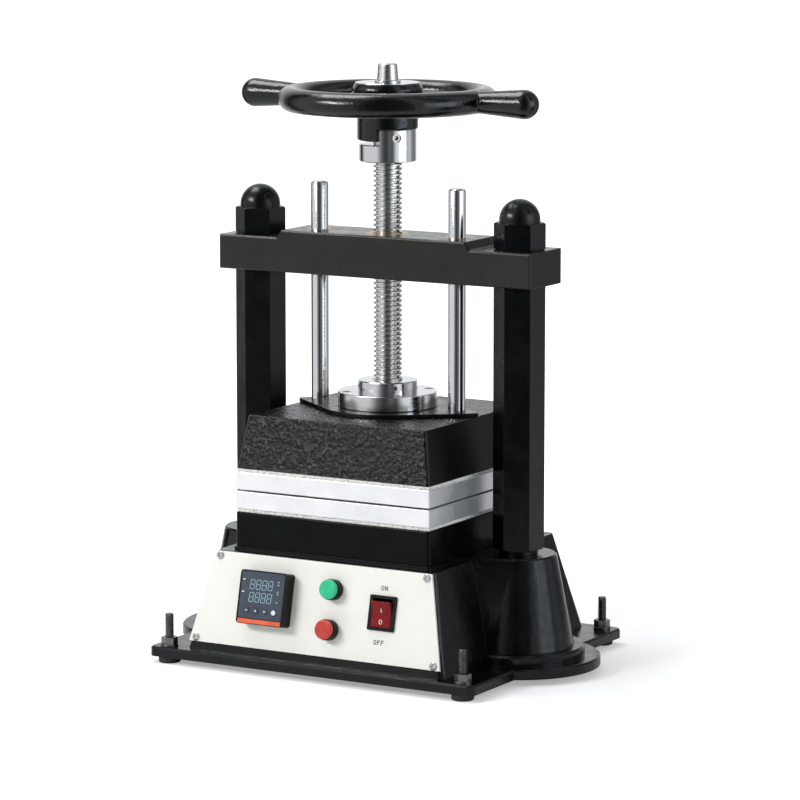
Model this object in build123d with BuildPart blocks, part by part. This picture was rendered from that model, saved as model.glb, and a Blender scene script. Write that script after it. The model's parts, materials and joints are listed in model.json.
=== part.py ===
# Bench vulcanizing press for rubber moulds: a cast base with a sloping control panel, two hexagonal
# columns, a crossbeam with a screw and handwheel, and two electrically heated plates.
# Millimetres. The origin is on the ground under the screw, +Z is up and the panel faces -Y.

import os
from math import acos, atan2, cos, hypot, pi, radians, sin, tan

from build123d import *

os.makedirs("parts", exist_ok=True)

# ---- Driving dimensions ------------------------------------------------------------------------

# Fits between pieces
running_gap = 0.05  # radial, shaft in its bush or nut
seat_gap = 0.1  # radial, spigot in its socket
through_gap = 0.4  # radial, bolt or stud in a plain hole
axial_gap = 0.3  # between faces that turn or part
panel_gap = 0.3  # round what drops into a panel cut-out

# Base casting
pad_height = 6.0
foot_thickness = 9.0
foot_length = 334.0
foot_depth = 285.0
foot_corner = 7.0
bulge_radius = 74.0  # round foot under each column
foot_edge = 1.5
ledge_height = 9.0
ledge_radius = 60.0
ledge_edge = 2.0
boss_foot_radius = 52.0
boss_top_radius = 34.5
boss_edge = 1.5
web_root_x = 100.0  # where the walls beside each boss start
web_half_width = 50.0
housing_height = 88.5
housing_top = 224.0  # square, across the top edge of the sloping walls
housing_draft = 12.9  # degrees off upright, all four walls
housing_corner = 6.0
housing_wall = 9.0
housing_roof = 14.0
rest_pad_margin = 1.5  # round the lower block
rest_pad_height = 2.5
window_length = 176.0  # opening in the front wall, behind the panel
window_height = 56.0
cover_thickness = 1.5
cover_lap = 6.0

# Columns and crossbeam
column_x = 134.6
bar_flats = 40.0
bar_turn = -7.0  # degrees off square, where the thread pulls tight
bar_chamfer = 2.2
neck_radius = 17.5
neck_height = 4.0
spigot_radius = 13.0
bottom_spigot = 38.0
column_reach = 240.3  # from the base boss to the underside of the crossbeam
beam_length = 322.0
beam_depth = 58.8
beam_end_height = 31.5
beam_rise = 7.0
beam_rise_half = 95.0
beam_rise_run = 5.0
beam_edge = 1.2
nut_flats = 40.0
nut_height = 24.0
nut_chamfer = 2.0
dome_radius = 18.3
dome_skirt = 2.4
dome_wall = 4.0

# Guide rods and bushes
rod_x = 71.3
rod_radius = 8.0
rod_length = 200.0
rod_chamfer = 2.0
rod_stud_radius = 6.0
rod_stud_depth = 20.0
bush_wall = 3.0
screw_nut_wall = 6.5

# Heated plates and their blocks
plate_side = 200.0
plate_thickness = 15.85
plate_edge = 0.4
plates_gap = 1.6  # the press stands just short of closed
sheet_thickness = 3.0
sheet_inset = 1.0  # from the edge of the plate, all round
lower_block_height = 31.5
block_corner = 3.0
block_edge = 0.8
upper_block_height = 48.0
upper_block_taper = 7.5  # on each side, from the sheet up to the lozenge plate
heater_radius = 5.0
heater_length = 184.0
heater_pitch = 46.0
heater_count = 4
heater_tail = 7.0
heater_tail_radius = 3.6
probe_radius = 2.2
probe_depth = 62.0
probe_head = 9.0
probe_head_flats = 8.0

# Thrust assembly on top of the upper block
lozenge_thickness = 3.6
lozenge_radius = 59.0
lozenge_half_length = 93.0
lozenge_tip_radius = 4.0
flange_radius = 45.0
flange_thickness = 13.8
flange_edge = 0.6
flange_screw_count = 4
flange_screw_circle = 38.5
flange_screw_radius = 2.5
flange_screw_head = 4.4
flange_screw_sink = 2.6
flange_screw_length = 26.0
collar_radius = 27.0
collar_height = 10.0
collar_edge = 0.8
collar_hole_radius = 2.0
collar_hole_depth = 7.0
bearing_radius = 17.5
bearing_bore = 10.2
bearing_height = 10.0
bearing_groove = 1.0
bearing_race = 3.0

# Screw, striking collar and handwheel
screw_radius = 13.0
screw_foot_radius = 17.0
screw_foot_height = 2.8
pivot_radius = 10.0
pivot_length = 8.8
strike_base = 449.6  # height of the striking collar above the ground with the press closed
strike_ring = 15.6
strike_radius = 26.0
strike_jaw_height = 13.2
strike_jaw_start = -76.0
strike_jaw_span = 120.0
strike_edge = 0.8
grub_radius = 4.0
grub_length = 11.0
grub_socket_flats = 4.0
grub_socket_depth = 4.0
grub_angle = -41.0
journal_radius = 10.0
hub_height = 41.4
hub_radius = 27.5
hub_top_radius = 31.5
hub_face_radius = 29.0
hub_waist = 14.0
hub_chamfer = 5.0
hub_jaw_height = 10.4
hub_jaw_span = 80.0
jaw_gap = 1.0  # degrees between the two jaws at rest
jaw_bore = 13.6
rim_height = 26.9  # centre of the rim above the hub's lower face
rim_radius = 87.2
rim_tube = 11.0
spoke_count = 4
spoke_turn = 45.0  # degrees from the grips to the first spoke
spoke_hub_width = 20.0
spoke_hub_depth = 11.0
spoke_rim_width = 15.0
spoke_rim_depth = 9.0
grip_end = 152.0
grip_bury = 3.0  # start of each grip outside the middle of the rim
grip_root_radius = 9.6
grip_end_radius = 13.2
ring_thickness = 1.4
ring_width = 3.0
ring_groove = 1.0
stub_base_radius = 9.8
stub_top_radius = 8.4
stub_height = 15.0

# Foot bolts
bolt_inset_x = 15.5  # from the ends of the foot plate
bolt_inset_y = 11.5
bolt_radius = 4.0
bolt_length = 38.5
bolt_end_chamfer = 0.8
pad_radius = 10.0
pad_edge = 1.2
washer_radius = 8.0
washer_thickness = 1.6
lock_nut_flats = 13.0
lock_nut_height = 6.5
lock_nut_chamfer = 0.8

# Control panel, measured along its slope from its centre
panel_thickness = 2.0
panel_height = 83.0
panel_centre_z = 62.5
panel_half_top = 111.0
panel_half_bottom = 129.4
screw_top_x = 106.5
screw_top_y = 37.5
screw_bottom_x = 122.5
screw_bottom_y = -37.8
panel_screw_radius = 2.0
panel_screw_head = 3.6
panel_screw_dome = 1.7
panel_screw_length = 10.0
panel_screw_slot = 0.9

# Temperature controller
meter_x = -50.5
meter_y = 3.5
meter_face = 48.0
meter_proud = 14.0
meter_corner = 3.0
meter_body = 44.4
meter_depth = 66.0
glass_width = 44.6
glass_height = 41.4
glass_rise = 1.9
glass_thickness = 1.2
glass_corner = 1.5
key_first_x = -14.0
key_pitch = 9.4
key_y = -11.8
key_radius = 2.9
key_gap = 0.2
key_proud = 0.5
key_travel = 0.4
key_flange = 0.7  # key height that stays in the fascia

# Pilot lamps
lamp_x = 14.6
lamp_high_y = 18.2
lamp_low_y = -17.4
lamp_bezel_radius = 9.4
lamp_bezel_height = 8.6
lamp_barrel_radius = 7.8
lamp_barrel_length = 24.0
lamp_nut_flats = 18.0
lamp_nut_height = 3.0
lens_radius = 8.7
lens_height = 3.4
lens_edge = 1.2
lens_spigot_radius = 6.0
lens_spigot_depth = 5.0

# Rocker switch
switch_x = 66.4
switch_y = 2.7
switch_length = 31.0
switch_width = 26.6
switch_bezel = 2.0
switch_corner = 1.0
switch_opening_length = 25.6
switch_opening_width = 20.0
switch_body_length = 28.4
switch_body_width = 22.0
switch_body_depth = 26.0
switch_floor = 4.0
rocker_side_gap = 0.3
rocker_half_length = 11.5
rocker_dip = 2.2  # height of the rocker's middle above the panel
rocker_lift = 4.2  # height of its ends, level
rocker_pivot = -2.0
rocker_skirt = 6.0
rocker_half_swing = 10.0
rocker_pin_radius = 1.2
rocker_pin_reach = 0.6

# Electrics in the base
relay_x = 20.0
relay_y = 62.0
relay_size = (58.0, 45.0, 28.0)
terminal_x = -50.0
terminal_y = 70.0
terminal_size = (66.0, 22.0, 18.0)
terminal_ways = 6
terminal_wall = 1.6
terminal_slot_depth = 7.0
gland_x = 70.0
gland_z = 42.0
gland_thread_radius = 9.8
gland_inside = 6.0
gland_nut_flats = 24.0
gland_nut_height = 4.5
gland_body_radius = 10.0
gland_body_length = 8.5
gland_taper = 8.0  # degrees
gland_bore = 4.0

# ---- Levels and places worked out from them ----------------------------------------------------

plate_bottom = pad_height
plate_top = plate_bottom + foot_thickness
housing_top_z = plate_top + housing_height
deck_z = housing_top_z + rest_pad_height
slope = tan(radians(housing_draft))
bolt_x = foot_length / 2 - bolt_inset_x
bolt_y = foot_depth / 2 - bolt_inset_y
sheet_side = plate_side - 2 * sheet_inset
lower_block_side = plate_side
upper_block_side = sheet_side
upper_block_top_side = upper_block_side - 2 * upper_block_taper
rest_pad_side = lower_block_side + 2 * rest_pad_margin
housing_base = housing_top + 2 * housing_height * slope
beam_bottom = deck_z + column_reach
beam_shoulder = beam_bottom + beam_end_height
beam_top = beam_shoulder + beam_rise
lower_sheet_z = deck_z + lower_block_height
lower_plate_z = lower_sheet_z + sheet_thickness
upper_plate_z = lower_plate_z + plate_thickness + plates_gap
upper_sheet_z = upper_plate_z + plate_thickness
upper_block_z = upper_sheet_z + sheet_thickness
lozenge_z = upper_block_z + upper_block_height
flange_z = lozenge_z + lozenge_thickness
collar_z = flange_z + flange_thickness
screw_foot_z = flange_z + bearing_height + axial_gap
hub_z = strike_base + strike_ring + strike_jaw_height + axial_gap
rim_z = hub_z + rim_height
hub_top_z = hub_z + hub_height
ring_z = hub_top_z + axial_gap
stub_z = ring_z + ring_thickness
lock_z = plate_top + washer_thickness

panel_face_y = -(housing_top / 2 + (housing_top_z - panel_centre_z) * slope)
outward = (0, -cos(radians(housing_draft)), sin(radians(housing_draft)))
wall_plane = Plane(origin=(0, panel_face_y, panel_centre_z), x_dir=(1, 0, 0), z_dir=outward)
panel_front = wall_plane.offset(panel_thickness)
bolt_places = [(x, y) for x in (-bolt_x, bolt_x) for y in (-bolt_y, bolt_y)]
panel_screw_places = [
    (-screw_top_x, screw_top_y),
    (screw_top_x, screw_top_y),
    (-screw_bottom_x, screw_bottom_y),
    (screw_bottom_x, screw_bottom_y),
]
flange_screw_places = PolarLocations(flange_screw_circle, flange_screw_count, start_angle=45)
heater_xs = [heater_pitch * (i - (heater_count - 1) / 2) for i in range(heater_count)]


def sector(inner, outer, start, span):
    """A ring sector about the origin."""
    with BuildSketch() as wedge:
        with BuildLine():
            outside = CenterArc((0, 0), outer, start, span)
            inside = CenterArc((0, 0), inner, start, span)
            Line(outside @ 0, inside @ 0)
            Line(outside @ 1, inside @ 1)
        make_face()
    return wedge.sketch


def turned_hexagon(flats, height, chamfer_size, turn=0.0):
    """A hexagonal bar whose two ends are chamfered in the lathe, on the current part."""
    corner_radius = flats / 2 / cos(pi / 6)
    with BuildPart(mode=Mode.PRIVATE) as bar:
        Cylinder(corner_radius, height, align=(Align.CENTER, Align.CENTER, Align.MIN))
        chamfer(bar.edges().filter_by(GeomType.CIRCLE), length=chamfer_size / 2, length2=chamfer_size)
        with BuildSketch():
            RegularPolygon(flats / 2, 6, major_radius=False, rotation=turn + 30)
        extrude(amount=height, mode=Mode.INTERSECT)
    return bar.part


# ---- Base --------------------------------------------------------------------------------------


def web_section(level, boss_radius, side):
    """Outline of the boss wall: from the housing, tangent to the boss, at one level."""
    reach = hypot(column_x - web_root_x, web_half_width)
    lean = atan2(web_half_width, web_root_x - column_x) - acos(boss_radius / reach)
    touch = (column_x + boss_radius * cos(lean), boss_radius * sin(lean))
    with BuildSketch(Plane.XY.offset(level)) as section:
        with BuildLine():
            Line((side * web_root_x, -web_half_width), (side * touch[0], -touch[1]))
            crown = (side * (column_x + boss_radius), 0)
            ThreePointArc((side * touch[0], -touch[1]), crown, (side * touch[0], touch[1]))
            Line((side * touch[0], touch[1]), (side * web_root_x, web_half_width))
            Line((side * web_root_x, web_half_width), (side * web_root_x, -web_half_width))
        make_face()
    return section.sketch


with BuildPart() as base_casting:
    # Foot plate, with the round feet of the columns standing out at both ends
    with BuildSketch(Plane.XY.offset(plate_bottom)):
        RectangleRounded(foot_length, foot_depth, foot_corner)
        with Locations((-column_x, 0), (column_x, 0)):
            Circle(bulge_radius)
    extrude(amount=foot_thickness)
    chamfer(base_casting.edges().group_by(Axis.Z)[-1], foot_edge)
    # Column bosses: a round ledge, and a tapered boss joined to the housing by its side walls
    with BuildSketch(Plane.XY.offset(plate_top)):
        with Locations((-column_x, 0), (column_x, 0)):
            Circle(ledge_radius)
    extrude(amount=ledge_height)
    chamfer(base_casting.edges().group_by(Axis.Z)[-1], ledge_edge)
    for side in (-1, 1):
        boss_foot = web_section(plate_top, boss_foot_radius, side)
        boss_shoulder = web_section(deck_z - boss_edge, boss_top_radius, side)
        boss_crown = web_section(deck_z, boss_top_radius - boss_edge, side)
        loft([boss_foot.face(), boss_shoulder.face()], ruled=True)
        loft([boss_shoulder.face(), boss_crown.face()], ruled=True)
    # Housing with sloping walls
    with BuildSketch(Plane.XY.offset(plate_top)):
        RectangleRounded(housing_base, housing_base, housing_corner)
    with BuildSketch(Plane.XY.offset(housing_top_z)):
        RectangleRounded(housing_top, housing_top, housing_corner)
    loft(ruled=True)
    with BuildSketch(Plane.XY.offset(housing_top_z)):
        RectangleRounded(rest_pad_side, rest_pad_side, block_corner)
    extrude(amount=rest_pad_height)
    # Hollow inside, open below and behind the panel
    cavity_base = housing_base + 2 * foot_thickness * slope - 2 * housing_wall
    with BuildSketch(Plane.XY.offset(plate_bottom)):
        Rectangle(cavity_base, cavity_base)
    extrude(amount=foot_thickness + housing_height - housing_roof, taper=housing_draft, mode=Mode.SUBTRACT)
    with BuildSketch(Plane.XY.offset(plate_bottom)):
        Rectangle(cavity_base + 2 * cover_lap, cavity_base + 2 * cover_lap)
    extrude(amount=cover_thickness, mode=Mode.SUBTRACT)
    with BuildSketch(wall_plane):
        Rectangle(window_length, window_height)
    extrude(amount=-2 * housing_wall, mode=Mode.SUBTRACT)
    with BuildSketch(wall_plane):
        with Locations(*panel_screw_places):
            Circle(panel_screw_radius + seat_gap)
    extrude(amount=-panel_screw_length, mode=Mode.SUBTRACT)
    # Column sockets, foot bolt holes and the cable hole in the rear wall
    with BuildSketch(Plane.XY.offset(deck_z)):
        with Locations((-column_x, 0), (column_x, 0)):
            Circle(spigot_radius + seat_gap)
    extrude(amount=-(bottom_spigot + 2 * axial_gap), mode=Mode.SUBTRACT)
    with BuildSketch(Plane.XY.offset(plate_bottom)):
        with Locations(*bolt_places):
            Circle(bolt_radius + through_gap)
    extrude(amount=foot_thickness, mode=Mode.SUBTRACT)
    gland_y = housing_top / 2 + (housing_top_z - gland_z) * slope
    gland_out = (0, cos(radians(housing_draft)), sin(radians(housing_draft)))
    gland_plane = Plane(origin=(gland_x, gland_y, gland_z), x_dir=(-1, 0, 0), z_dir=gland_out)
    with BuildSketch(gland_plane):
        Circle(gland_thread_radius + seat_gap)
    extrude(amount=-2 * housing_wall, mode=Mode.SUBTRACT)

base_casting.part.label = "base_casting"
export_step(base_casting.part, "parts/base_casting.step")

with BuildPart() as bottom_cover:
    cover_side = cavity_base + 2 * cover_lap - 2 * panel_gap
    with BuildSketch(Plane.XY.offset(plate_bottom)):
        Rectangle(cover_side, cover_side)
    extrude(amount=cover_thickness)

bottom_cover.part.label = "bottom_cover"
export_step(bottom_cover.part, "parts/bottom_cover.step")

with BuildPart() as foot_bolts:
    with Locations(*[(x, y, 0) for x, y in bolt_places]):
        Cylinder(pad_radius, pad_height, align=(Align.CENTER, Align.CENTER, Align.MIN))
    chamfer(foot_bolts.edges().group_by(Axis.Z)[0], pad_edge)
    with Locations(*[(x, y, pad_height) for x, y in bolt_places]):
        Cylinder(bolt_radius, bolt_length, align=(Align.CENTER, Align.CENTER, Align.MIN))
    chamfer(foot_bolts.edges().group_by(Axis.Z)[-1], bolt_end_chamfer)

foot_bolts.part.label = "foot_bolts"
export_step(foot_bolts.part, "parts/foot_bolts.step")

with BuildPart() as foot_washers:
    with BuildSketch(Plane.XY.offset(plate_top)):
        with Locations(*bolt_places):
            Circle(washer_radius)
            Circle(bolt_radius + through_gap, mode=Mode.SUBTRACT)
    extrude(amount=washer_thickness)

foot_washers.part.label = "foot_washers"
export_step(foot_washers.part, "parts/foot_washers.step")

with BuildPart() as foot_nuts:
    with Locations(*[(x, y, lock_z) for x, y in bolt_places]):
        add(turned_hexagon(lock_nut_flats, lock_nut_height, lock_nut_chamfer))
    with Locations(*[(x, y, lock_z) for x, y in bolt_places]):
        Cylinder(
            bolt_radius + seat_gap,
            lock_nut_height,
            align=(Align.CENTER, Align.CENTER, Align.MIN),
            mode=Mode.SUBTRACT,
        )

foot_nuts.part.label = "foot_nuts"
export_step(foot_nuts.part, "parts/foot_nuts.step")

# ---- Columns, crossbeam and its nuts -----------------------------------------------------------

for side, name in ((-1, "left"), (1, "right")):
    here = Plane.XY.offset(deck_z).shift_origin((side * column_x, 0, deck_z))
    with BuildPart(here) as column:
        with Locations((0, 0, neck_height)):
            add(turned_hexagon(bar_flats, column_reach - neck_height, bar_chamfer, bar_turn))
        Cylinder(neck_radius, neck_height, align=(Align.CENTER, Align.CENTER, Align.MIN))
        with Locations((0, 0, -bottom_spigot)):
            Cylinder(spigot_radius, bottom_spigot, align=(Align.CENTER, Align.CENTER, Align.MIN))
        with Locations((0, 0, column_reach)):
            Cylinder(
                spigot_radius,
                beam_end_height + nut_height,
                align=(Align.CENTER, Align.CENTER, Align.MIN),
            )
        spigot_ends = column.edges().filter_by(GeomType.CIRCLE).group_by(Axis.Z)
        chamfer(spigot_ends[0] + spigot_ends[-1], bar_chamfer / 2)
    column.part.label = name + "_column"
    export_step(column.part, "parts/" + name + "_column.step")

    upright = Plane(origin=(side * column_x, 0, beam_shoulder), x_dir=(1, 0, 0), z_dir=(0, -1, 0))
    with BuildPart() as dome_nut:
        with Locations((side * column_x, 0, beam_shoulder)):
            add(turned_hexagon(nut_flats, nut_height, nut_chamfer, bar_turn))
        with BuildSketch(upright):
            with BuildLine():
                skirt_top = (dome_radius, nut_height + dome_skirt)
                crown = (0, nut_height + dome_skirt + dome_radius)
                shoulder = (
                    dome_radius * cos(pi / 4),
                    nut_height + dome_skirt + dome_radius * sin(pi / 4),
                )
                Polyline(crown, (0, 0), (dome_radius, 0), skirt_top)
                ThreePointArc(skirt_top, shoulder, crown)
            make_face()
        revolve(axis=Axis(upright.origin, (0, 0, 1)))
        with BuildSketch(Plane.XY.offset(beam_shoulder)):
            with Locations((side * column_x, 0)):
                Circle(spigot_radius + seat_gap)
        extrude(amount=nut_height + dome_wall, mode=Mode.SUBTRACT)
    dome_nut.part.label = name + "_dome_nut"
    export_step(dome_nut.part, "parts/" + name + "_dome_nut.step")

with BuildPart() as crossbeam:
    rise_foot = beam_rise_half + beam_rise_run
    with BuildSketch(Plane.XZ):
        with BuildLine():
            Polyline(
                (-beam_length / 2, beam_bottom),
                (beam_length / 2, beam_bottom),
                (beam_length / 2, beam_shoulder),
                (rise_foot, beam_shoulder),
                (beam_rise_half, beam_top),
                (-beam_rise_half, beam_top),
                (-rise_foot, beam_shoulder),
                (-beam_length / 2, beam_shoulder),
                close=True,
            )
        make_face()
    extrude(amount=beam_depth / 2, both=True)
    faces_front_back = crossbeam.faces().filter_by(Axis.Y)
    chamfer(faces_front_back.edges(), beam_edge)
    with BuildSketch(Plane.XY.offset(beam_bottom)):
        with Locations((-column_x, 0), (column_x, 0)):
            Circle(spigot_radius + through_gap)
        with Locations((-rod_x, 0), (rod_x, 0)):
            Circle(rod_radius + bush_wall)
        Circle(screw_radius + screw_nut_wall)
    extrude(amount=beam_end_height + beam_rise, mode=Mode.SUBTRACT)

crossbeam.part.label = "crossbeam"
export_step(crossbeam.part, "parts/crossbeam.step")

with BuildPart() as screw_nut:
    with BuildSketch(Plane.XY.offset(beam_bottom)):
        Circle(screw_radius + screw_nut_wall)
        Circle(screw_radius + running_gap, mode=Mode.SUBTRACT)
    extrude(amount=beam_end_height + beam_rise)

screw_nut.part.label = "screw_nut"
export_step(screw_nut.part, "parts/screw_nut.step")

for side, name in ((-1, "left"), (1, "right")):
    with BuildPart() as guide_bush:
        with BuildSketch(Plane.XY.offset(beam_bottom)):
            with Locations((side * rod_x, 0)):
                Circle(rod_radius + bush_wall)
                Circle(rod_radius + running_gap, mode=Mode.SUBTRACT)
        extrude(amount=beam_end_height + beam_rise)
    guide_bush.part.label = name + "_guide_bush"
    export_step(guide_bush.part, "parts/" + name + "_guide_bush.step")

    with BuildPart() as guide_rod:
        with BuildSketch(Plane.XY.offset(flange_z)):
            with Locations((side * rod_x, 0)):
                Circle(rod_radius)
        extrude(amount=rod_length)
        chamfer(guide_rod.edges().group_by(Axis.Z)[-1], rod_chamfer)
        with BuildSketch(Plane.XY.offset(flange_z)):
            with Locations((side * rod_x, 0)):
                Circle(rod_stud_radius)
        extrude(amount=-(lozenge_thickness + rod_stud_depth))
    guide_rod.part.label = name + "_guide_rod"
    export_step(guide_rod.part, "parts/" + name + "_guide_rod.step")

# ---- Heated plates, heaters and blocks ---------------------------------------------------------

with BuildPart() as lower_block:
    with BuildSketch(Plane.XY.offset(deck_z)):
        RectangleRounded(lower_block_side, lower_block_side, block_corner)
    extrude(amount=lower_block_height)
    chamfer(lower_block.edges().group_by(Axis.Z)[-1], block_edge)

lower_block.part.label = "lower_block"
export_step(lower_block.part, "parts/lower_block.step")

with BuildPart() as upper_block:
    with BuildSketch(Plane.XY.offset(upper_block_z)):
        RectangleRounded(upper_block_side, upper_block_side, block_corner)
    with BuildSketch(Plane.XY.offset(lozenge_z)):
        RectangleRounded(upper_block_top_side, upper_block_top_side, block_corner)
    loft(ruled=True)
    chamfer(upper_block.edges().group_by(Axis.Z)[-1], block_edge)
    with BuildSketch(Plane.XY.offset(lozenge_z)):
        with Locations((-rod_x, 0), (rod_x, 0)):
            Circle(rod_stud_radius + seat_gap)
    extrude(amount=-(rod_stud_depth + axial_gap), mode=Mode.SUBTRACT)
    with BuildSketch(Plane.XY.offset(lozenge_z)):
        with flange_screw_places:
            Circle(flange_screw_radius + seat_gap)
    screw_bite = flange_screw_length - flange_thickness - lozenge_thickness
    extrude(amount=-(screw_bite + axial_gap), mode=Mode.SUBTRACT)

upper_block.part.label = "upper_block"
export_step(upper_block.part, "parts/upper_block.step")

for level, name in ((lower_sheet_z, "lower"), (upper_sheet_z, "upper")):
    with BuildPart() as insulation_sheet:
        with BuildSketch(Plane.XY.offset(level)):
            Rectangle(sheet_side, sheet_side)
        extrude(amount=sheet_thickness)
    insulation_sheet.part.label = name + "_insulation_sheet"
    export_step(insulation_sheet.part, "parts/" + name + "_insulation_sheet.step")

for level, name in ((lower_plate_z, "lower"), (upper_plate_z, "upper")):
    middle = level + plate_thickness / 2
    rear = Plane(origin=(0, plate_side / 2, middle), x_dir=(-1, 0, 0), z_dir=(0, 1, 0))
    with BuildPart() as heating_plate:
        with BuildSketch(Plane.XY.offset(level)):
            Rectangle(plate_side, plate_side)
        extrude(amount=plate_thickness)
        chamfer(heating_plate.edges(), plate_edge)
        with BuildSketch(rear):
            with Locations(*[(x, 0) for x in heater_xs]):
                Circle(heater_radius + seat_gap)
        extrude(amount=-(heater_length + axial_gap), mode=Mode.SUBTRACT)
        with BuildSketch(rear):
            Circle(probe_radius + seat_gap)
        extrude(amount=-(probe_depth + axial_gap), mode=Mode.SUBTRACT)
    heating_plate.part.label = name + "_heating_plate"
    export_step(heating_plate.part, "parts/" + name + "_heating_plate.step")

    with BuildPart() as heater_set:
        with BuildSketch(rear):
            with Locations(*[(x, 0) for x in heater_xs]):
                Circle(heater_radius)
        extrude(amount=-heater_length)
        with BuildSketch(rear):
            with Locations(*[(x, 0) for x in heater_xs]):
                Circle(heater_tail_radius)
        extrude(amount=heater_tail)
    heater_set.part.label = name + "_heaters"
    export_step(heater_set.part, "parts/" + name + "_heaters.step")

    with BuildPart() as temperature_probe:
        with BuildSketch(rear):
            Circle(probe_radius)
        extrude(amount=-probe_depth)
        with BuildSketch(rear):
            RegularPolygon(probe_head_flats / 2, 6, major_radius=False)
        extrude(amount=probe_head)
    temperature_probe.part.label = name + "_temperature_probe"
    export_step(temperature_probe.part, "parts/" + name + "_temperature_probe.step")

# ---- Thrust assembly ---------------------------------------------------------------------------

with BuildPart() as lozenge_plate:
    tip_x = lozenge_half_length - lozenge_tip_radius
    with BuildSketch(Plane.XY.offset(lozenge_z)):
        Circle(lozenge_radius)
        with Locations((-tip_x, 0), (tip_x, 0)):
            Circle(lozenge_tip_radius)
        make_hull()
        with Locations((-rod_x, 0), (rod_x, 0)):
            Circle(rod_stud_radius + through_gap, mode=Mode.SUBTRACT)
        with flange_screw_places:
            Circle(flange_screw_radius + through_gap, mode=Mode.SUBTRACT)
    extrude(amount=lozenge_thickness)

lozenge_plate.part.label = "lozenge_plate"
export_step(lozenge_plate.part, "parts/lozenge_plate.step")

with BuildPart() as thrust_flange:
    with BuildSketch(Plane.XY.offset(flange_z)):
        Circle(flange_radius)
    extrude(amount=flange_thickness)
    chamfer(thrust_flange.edges(), flange_edge)
    with BuildSketch(Plane.XY.offset(flange_z)):
        Circle(bearing_radius + seat_gap)
    extrude(amount=flange_thickness, mode=Mode.SUBTRACT)
    with BuildSketch(Plane.XY.offset(flange_z)):
        with flange_screw_places:
            Circle(flange_screw_radius + through_gap)
    extrude(amount=flange_thickness, mode=Mode.SUBTRACT)
    with BuildSketch(Plane.XY.offset(collar_z)):
        with flange_screw_places:
            Circle(flange_screw_head + seat_gap)
    extrude(amount=-flange_screw_sink, mode=Mode.SUBTRACT)

thrust_flange.part.label = "thrust_flange"
export_step(thrust_flange.part, "parts/thrust_flange.step")

with BuildPart() as flange_screw_set:
    with BuildSketch(Plane.XY.offset(collar_z - flange_screw_sink)):
        with flange_screw_places:
            Circle(flange_screw_radius)
    extrude(amount=-(flange_screw_length - flange_screw_sink))
    with BuildSketch(Plane.XY.offset(collar_z - flange_screw_sink)):
        with flange_screw_places:
            Circle(flange_screw_head)
    extrude(amount=flange_screw_sink)
    with BuildSketch(Plane.XY.offset(collar_z)):
        with flange_screw_places:
            RegularPolygon(flange_screw_head / 2, 6)
    extrude(amount=-flange_screw_sink + axial_gap, mode=Mode.SUBTRACT)

flange_screw_set.part.label = "flange_screws"
export_step(flange_screw_set.part, "parts/flange_screws.step")

with BuildPart() as retaining_collar:
    with BuildSketch(Plane.XY.offset(collar_z)):
        Circle(collar_radius)
    extrude(amount=collar_height)
    chamfer(retaining_collar.edges().group_by(Axis.Z)[-1], collar_edge)
    with BuildSketch(Plane.XY.offset(collar_z)):
        Circle(screw_radius + through_gap)
    extrude(amount=collar_height, mode=Mode.SUBTRACT)
    # Blind spanner holes round the collar
    for angle in (-45, 45, 135, 225):
        facing = Plane(
            origin=(0, 0, collar_z + collar_height / 2), z_dir=(cos(radians(angle)), sin(radians(angle)), 0)
        )
        with BuildSketch(facing.offset(collar_radius)):
            Circle(collar_hole_radius)
        extrude(amount=-collar_hole_depth, mode=Mode.SUBTRACT)

retaining_collar.part.label = "retaining_collar"
export_step(retaining_collar.part, "parts/retaining_collar.step")

with BuildPart() as thrust_bearing:
    with BuildSketch(Plane.XZ):
        with Locations(((bearing_bore + bearing_radius) / 2, flange_z + bearing_height / 2)):
            Rectangle(bearing_radius - bearing_bore, bearing_height)
        # The cage stands back between the two race washers
        for edge_radius in (bearing_bore, bearing_radius):
            with Locations((edge_radius, flange_z + bearing_height / 2)):
                Rectangle(2 * bearing_groove, bearing_height - 2 * bearing_race, mode=Mode.SUBTRACT)
    revolve(axis=Axis.Z)

thrust_bearing.part.label = "thrust_bearing"
export_step(thrust_bearing.part, "parts/thrust_bearing.step")

# ---- Screw and striking collar -----------------------------------------------------------------

with BuildPart() as press_screw:
    foot_top = screw_foot_z + screw_foot_height
    groove_radius = journal_radius - ring_groove
    with BuildSketch(Plane.XZ):
        with BuildLine():
            Polyline(
                (0, screw_foot_z - pivot_length),
                (pivot_radius, screw_foot_z - pivot_length),
                (pivot_radius, screw_foot_z),
                (screw_foot_radius, screw_foot_z),
                (screw_foot_radius, foot_top),
                (screw_radius, foot_top),
                (screw_radius, hub_z - axial_gap),
                (journal_radius, hub_z - axial_gap),
                (journal_radius, ring_z),
                (groove_radius, ring_z),
                (groove_radius, stub_z),
                (stub_base_radius, stub_z),
                (stub_top_radius, stub_z + stub_height),
                (0, stub_z + stub_height),
                close=True,
            )
        make_face()
    revolve(axis=Axis.Z)

press_screw.part.label = "press_screw"
export_step(press_screw.part, "parts/press_screw.step")

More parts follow.
